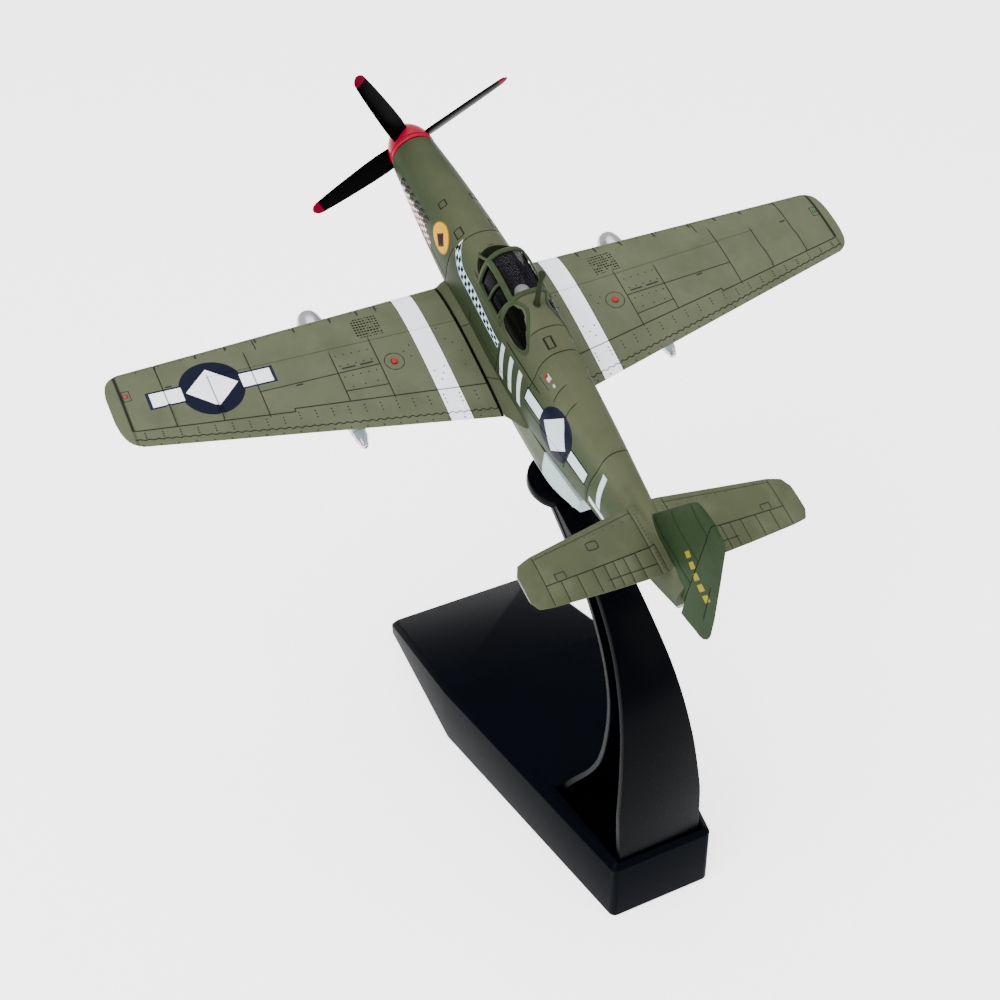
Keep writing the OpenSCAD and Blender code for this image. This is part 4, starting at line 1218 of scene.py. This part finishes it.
BASE_TOP, BASE_FRONT_TOP, FLAT_X, BASE_BEVEL = 15.65, 3.7, 10.8, 1.2
CORNER_STEPS = 6
BASE_CORNERS = [(-50, 11.3), (10.8, 21.5), (50, 19.7), (50, -19.7), (10.8, -21.5), (-50, -11.3)]


def rounded_outline(corners, radius):
    """A convex outline with its corners rounded, except the two shallow ones at the fold."""
    out = []
    for i, corner in enumerate(corners):
        p = np.array(corner, float)
        a, b = unit(corners[i - 1] - p), unit(corners[(i + 1) % len(corners)] - p)
        half = math.acos(float(np.clip(a @ b, -1, 1))) / 2
        if half > 1.45:
            out.append(tuple(p))
            continue
        centre = p + unit(a + b) * radius / math.sin(half)
        start, end = (p + v * radius / math.tan(half) - centre for v in (a, b))
        a0 = math.atan2(start[1], start[0])
        turn = (math.atan2(end[1], end[0]) - a0 + math.pi) % (2 * math.pi) - math.pi
        for t in a0 + turn * np.arange(CORNER_STEPS + 1) / CORNER_STEPS:
            out.append(tuple(centre + radius * np.array([math.cos(t), math.sin(t)])))
    return out


def base_top(x):
    return BASE_TOP if x < FLAT_X else BASE_TOP + (BASE_FRONT_TOP - BASE_TOP) * (x - FLAT_X) / (50 - FLAT_X)


def inset(corners, d):
    """The six corners moved inwards by d."""
    return [(x - math.copysign(d, x) if abs(x) > 20 else x, y - math.copysign(d, y)) for x, y in corners]


def build_base():
    """The wedge-shaped base, with a socket for the arm cut into its top."""
    rings = []
    # each row: how far in, corner radius, height or drop from the top
    rows = ((0.25, 1.4, 0.0, False), (0.0, 1.5, 0.3, False), (0.0, 1.5, BASE_BEVEL + 0.08, True),
            (0.07, 1.45, BASE_BEVEL - 0.1, True), (BASE_BEVEL - 0.12, 0.9, 0.09, True),
            (BASE_BEVEL + 0.06, 0.8, 0.01, True))
    for d, r, z, from_top in rows:
        outline = rounded_outline(inset(BASE_CORNERS, d), r)
        rings.append([(x, y, base_top(x) - z if from_top else z) for x, y in outline])
    points, faces = loft(rings)
    top = faces.pop()
    a, b = (k for k, i in enumerate(top) if abs(points[i][0] - FLAT_X) < 0.01)
    faces += [top[a:b + 1], top[b:] + top[:a + 1]]
    base = piece("base_body", (points, faces), base_mat, "stand", place=ROW,
                 hides=("base_shell",), sharp=24)
    gap = 0.45
    rear, front = -48.5 - gap, -26.1 + gap
    hole = [(rear, 9.2 + gap), (front, 11.7 + gap), (front, -11.7 - gap), (rear, -9.2 - gap)]
    mesh = new_mesh("socket_cut", *loft([[(x, y, z) for x, y in hole] for z in (4.0, 20.0)]))
    cutter = bpy.data.objects.new("socket_cut", mesh)
    bpy.context.scene.collection.objects.link(cutter)
    modifier = base.modifiers.new("socket", "BOOLEAN")
    modifier.operation = "DIFFERENCE"
    modifier.solver = "EXACT"
    modifier.object = cutter
    bpy.context.view_layer.update()
    result = bpy.data.meshes.new_from_object(base.evaluated_get(bpy.context.evaluated_depsgraph_get()))
    base.modifiers.clear()
    base.data = result
    result.set_sharp_from_angle(angle=math.radians(24))
    bpy.data.objects.remove(cutter)


def bezier(p, t):
    p = np.asarray(p, float)
    return (1 - t) ** 3 * p[0] + 3 * (1 - t) ** 2 * t * p[1] + 3 * (1 - t) * t**2 * p[2] + t**3 * p[3]


REAR_CURVE = [(-48.5, 12), (-48, 52.5), (-43.5, 64), (-9, 80)]
FLARE_CURVE = [(-26.1, 15.65), (-31, 26), (-38.6, 30), (-38.3, 43)]
FRONT_CURVE = [(-38.3, 43), (-38.1, 54), (-33, 61.5), (-5.5, 76.6)]
ARM_HALF = [(4, 11.7), (15.65, 11.7), (20, 10.4), (25, 9.5), (31, 8.9), (41, 7.9), (50.7, 6.65), (56.5, 5.85),
            (63.3, 4.8), (68, 4.2), (80, 3.6)]
DISC_CENTRE = np.array([-4.79, 0, 79.61])
DISC_UP = np.array([-SIN, 0, COS])


def arm_half(p):
    return min(table(ARM_HALF, p[1], 1), 9.2 + (p[0] + 48.5) * 2.5 / 22.4)


def arm_ring(rear, front, depth):
    """One section from the rear edge to the front edge, with side pockets depth deep (0 to 1)."""
    rear, front = np.asarray(rear, float), np.asarray(front, float)
    length = np.linalg.norm(front - rear)
    way = (front - rear) / length
    hr, hf = arm_half(rear), arm_half(front)
    rim, soft, web = 1.5, 0.35, 1.5
    def half(s):
        return hr + (hf - hr) * s / length
    def pocket(s):
        return web + (1 - depth) * (half(s) - 0.2 - web)
    low, high = pocket(rim), pocket(length - rim)
    side = [(0, half(0) - soft), (0.1, half(0) - 0.1), (soft, half(soft)), (rim - 0.15, half(rim)),
            (rim, half(rim) - 0.15), (rim + 0.12, low + 0.5 * depth), (rim + 0.6, low),
            (length - rim - 0.6, high), (length - rim - 0.12, high + 0.5 * depth),
            (length - rim, half(length - rim) - 0.15), (length - rim + 0.15, half(length - rim)),
            (length - soft, half(length - soft)), (length - 0.1, half(length) - 0.1),
            (length, half(length) - soft)]
    out = []
    for s, y in side + [(s, -h) for s, h in side[::-1]]:
        x, z = rear + way * s
        p = np.array([x, y, z])
        over = float((p - DISC_CENTRE) @ DISC_UP) + 0.35
        out.append(p - DISC_UP * max(over, 0))
    return out


def build_arm():
    """The curved arm: its foot in the socket, and the two edges that run up to the pad."""
    rings = [arm_ring((-48.5, z), (-26.1, z), depth) for z, depth in ((4.1, 0), (12, 0), (12.02, 1))]
    steps, pocket_end, split = 48, 44, 0.31
    for k in range(1, steps + 1):
        t = k / steps
        front = bezier(FLARE_CURVE, t / split) if t < split else bezier(FRONT_CURVE, (t - split) / (1 - split))
        rear = bezier(REAR_CURVE, t)
        if k == pocket_end:
            rings.append(arm_ring(rear - 0.01, front - 0.01, 1))
        rings.append(arm_ring(rear, front, float(k < pocket_end)))
    piece("arm_body", loft(rings), arm_mat, "arm", place=ROW, hides=("arm",), sharp=30)


def build_disc():
    """The round pad that carries the peg, with a softened edge and a shallow step."""
    a = turns(96)
    rows = ((1.56, 0.0), (5.6, 0.0), (5.7, -0.12), (6.2, -0.12), (6.42, -0.2), (6.5, -0.42), (6.5, -1.0),
            (6.42, -1.06), (6.42, -1.14), (6.5, -1.2), (6.5, -1.95), (6.4, -2.15), (6.2, -2.2), (1.56, -2.2))
    points, faces = loft([xyz(84.5 + r * np.cos(a), r * np.sin(a), -16.6 + h) for r, h in rows], caps=False)
    n, last = len(a), len(points) - len(a)
    faces += [(last + i, last + (i + 1) % n, (i + 1) % n, i) for i in range(n)]
    piece("cradle_pad", (points, faces), arm_mat, "arm", hides=("cradle_disc",))


make_camera()
make_studio()

# The materials of the CAD nodes that stay visible, by slot.
SLOT_MATS = {
    "black_plastic": plain("arm_black", (24, 26, 31), 0.32),
    "base_plastic": plain("base_black", (26, 30, 36), 0.36),
    "screw_steel": plain("screw_steel", (120, 120, 118), 0.35, 1.0),
    "belly_paint": belly_paint(),
    "cockpit_paint": plain("cockpit_green", (60, 90, 40), 0.6),
    "headrest": plain("headrest_white", (235, 235, 235), 0.4),
    "panel_black": plain("panel_black", (20, 20, 20), 0.5),
    "lamp_red": plain("lamp_red", (170, 30, 40), 0.2),
    "lamp_green": plain("lamp_green", (30, 120, 70), 0.2),
    "bush_steel": plain("bush_steel", (90, 90, 90), 0.4, 0.8),
}


def dress_cad():
    """Every visible CAD node keeps its shape and gets its slot's material."""
    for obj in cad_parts.values():
        own = obj.data.materials[0].name.split(".")[0] if obj.data.materials else ""
        if own in SLOT_MATS:
            obj.data.materials.clear()
            obj.data.materials.append(SLOT_MATS[own])


dress_cad()
cap_mat = cap_paint()
pane_mat = glass_paint("windscreen_grey_green", (66, 70, 56), 0.3, 0.78, 0.0)
roof_mat = glass_paint("roof_grey_violet", (70, 66, 76), 0.10, 0.3, 0.12)
# painted shade: the canopy side glass and the rear window panes are near-black and nearly opaque, for the dark
# cabin behind them
side_glass_shade_mat = glass_paint("side_glass_painted_dark", (12, 12, 14), 0.16, 0.86, 0.02)
frame_mat = plain("canopy_frame_green", (100, 112, 88), 0.45, spec=0.06)
red_mat = plain("spinner_gloss_red", (190, 16, 88), 0.3, spec=0.10, amount=0.12)
blade_mat = blade_paint()
tank_mat = plain("tank_bright_silver", (176, 178, 184), 0.22, 0.9, amount=0.15)
exhaust_mat = plain("stub_black_iron", (24, 23, 24), 0.42, 0.3)
# painted highlight: light grey for the faces inside the exhaust stubs' open ends
stub_lip_highlight_mat = plain("stub_lip_painted_highlight", (128, 128, 126), 0.4, 0.4)
mast_mat = plain("mast_dark_green", (82, 90, 70), 0.45, spec=0.06)
rivet_mat = plain("rivet_dark_olive", (52, 56, 42), 0.5, spec=0.3)
base_mat = plain("base_satin_black", (34, 40, 50), 0.34, spec=0.012, amount=0.2)
arm_mat = plain("arm_satin_black", (26, 30, 38), 0.26, spec=0.025, amount=0.2)
fairing_mat = simple_paint("fairing_olive", (119, 124, 103), (102, 108, 87), (131, 135, 115))
# painted shade: the fin and rudder get a darker, greener olive than the body, the tone of the shaded upright
# sides
fin_mat = simple_paint("fin_shaded_olive", (88, 104, 82), (74, 90, 68), (102, 115, 94), 0.6, 0.03, fin_marks)
tail_mat = simple_paint("tailplane_olive", (122, 127, 106), OLIVE_DARK, OLIVE_LIGHT, extra=pale_below)
build_body()
for side in (1, -1):
    build_fillet(side)
    build_tailplane(side)
build_fin()
build_rudder()
build_wing(1, "wing_right", wing_paint("wing_olive", False))
build_wing(-1, "wing_left", wing_paint("wing_olive_badge", True))

for side in (1, -1):
    build_tank(side)
    build_exhaust(side)
    build_rear_window(side)
    wing_rivets(side)
    tail_details(side)
    build_cap(side)
build_cabin()
build_spinner()
for i in range(4):
    build_blade(i)
build_mast()
build_base()
build_arm()
build_disc()
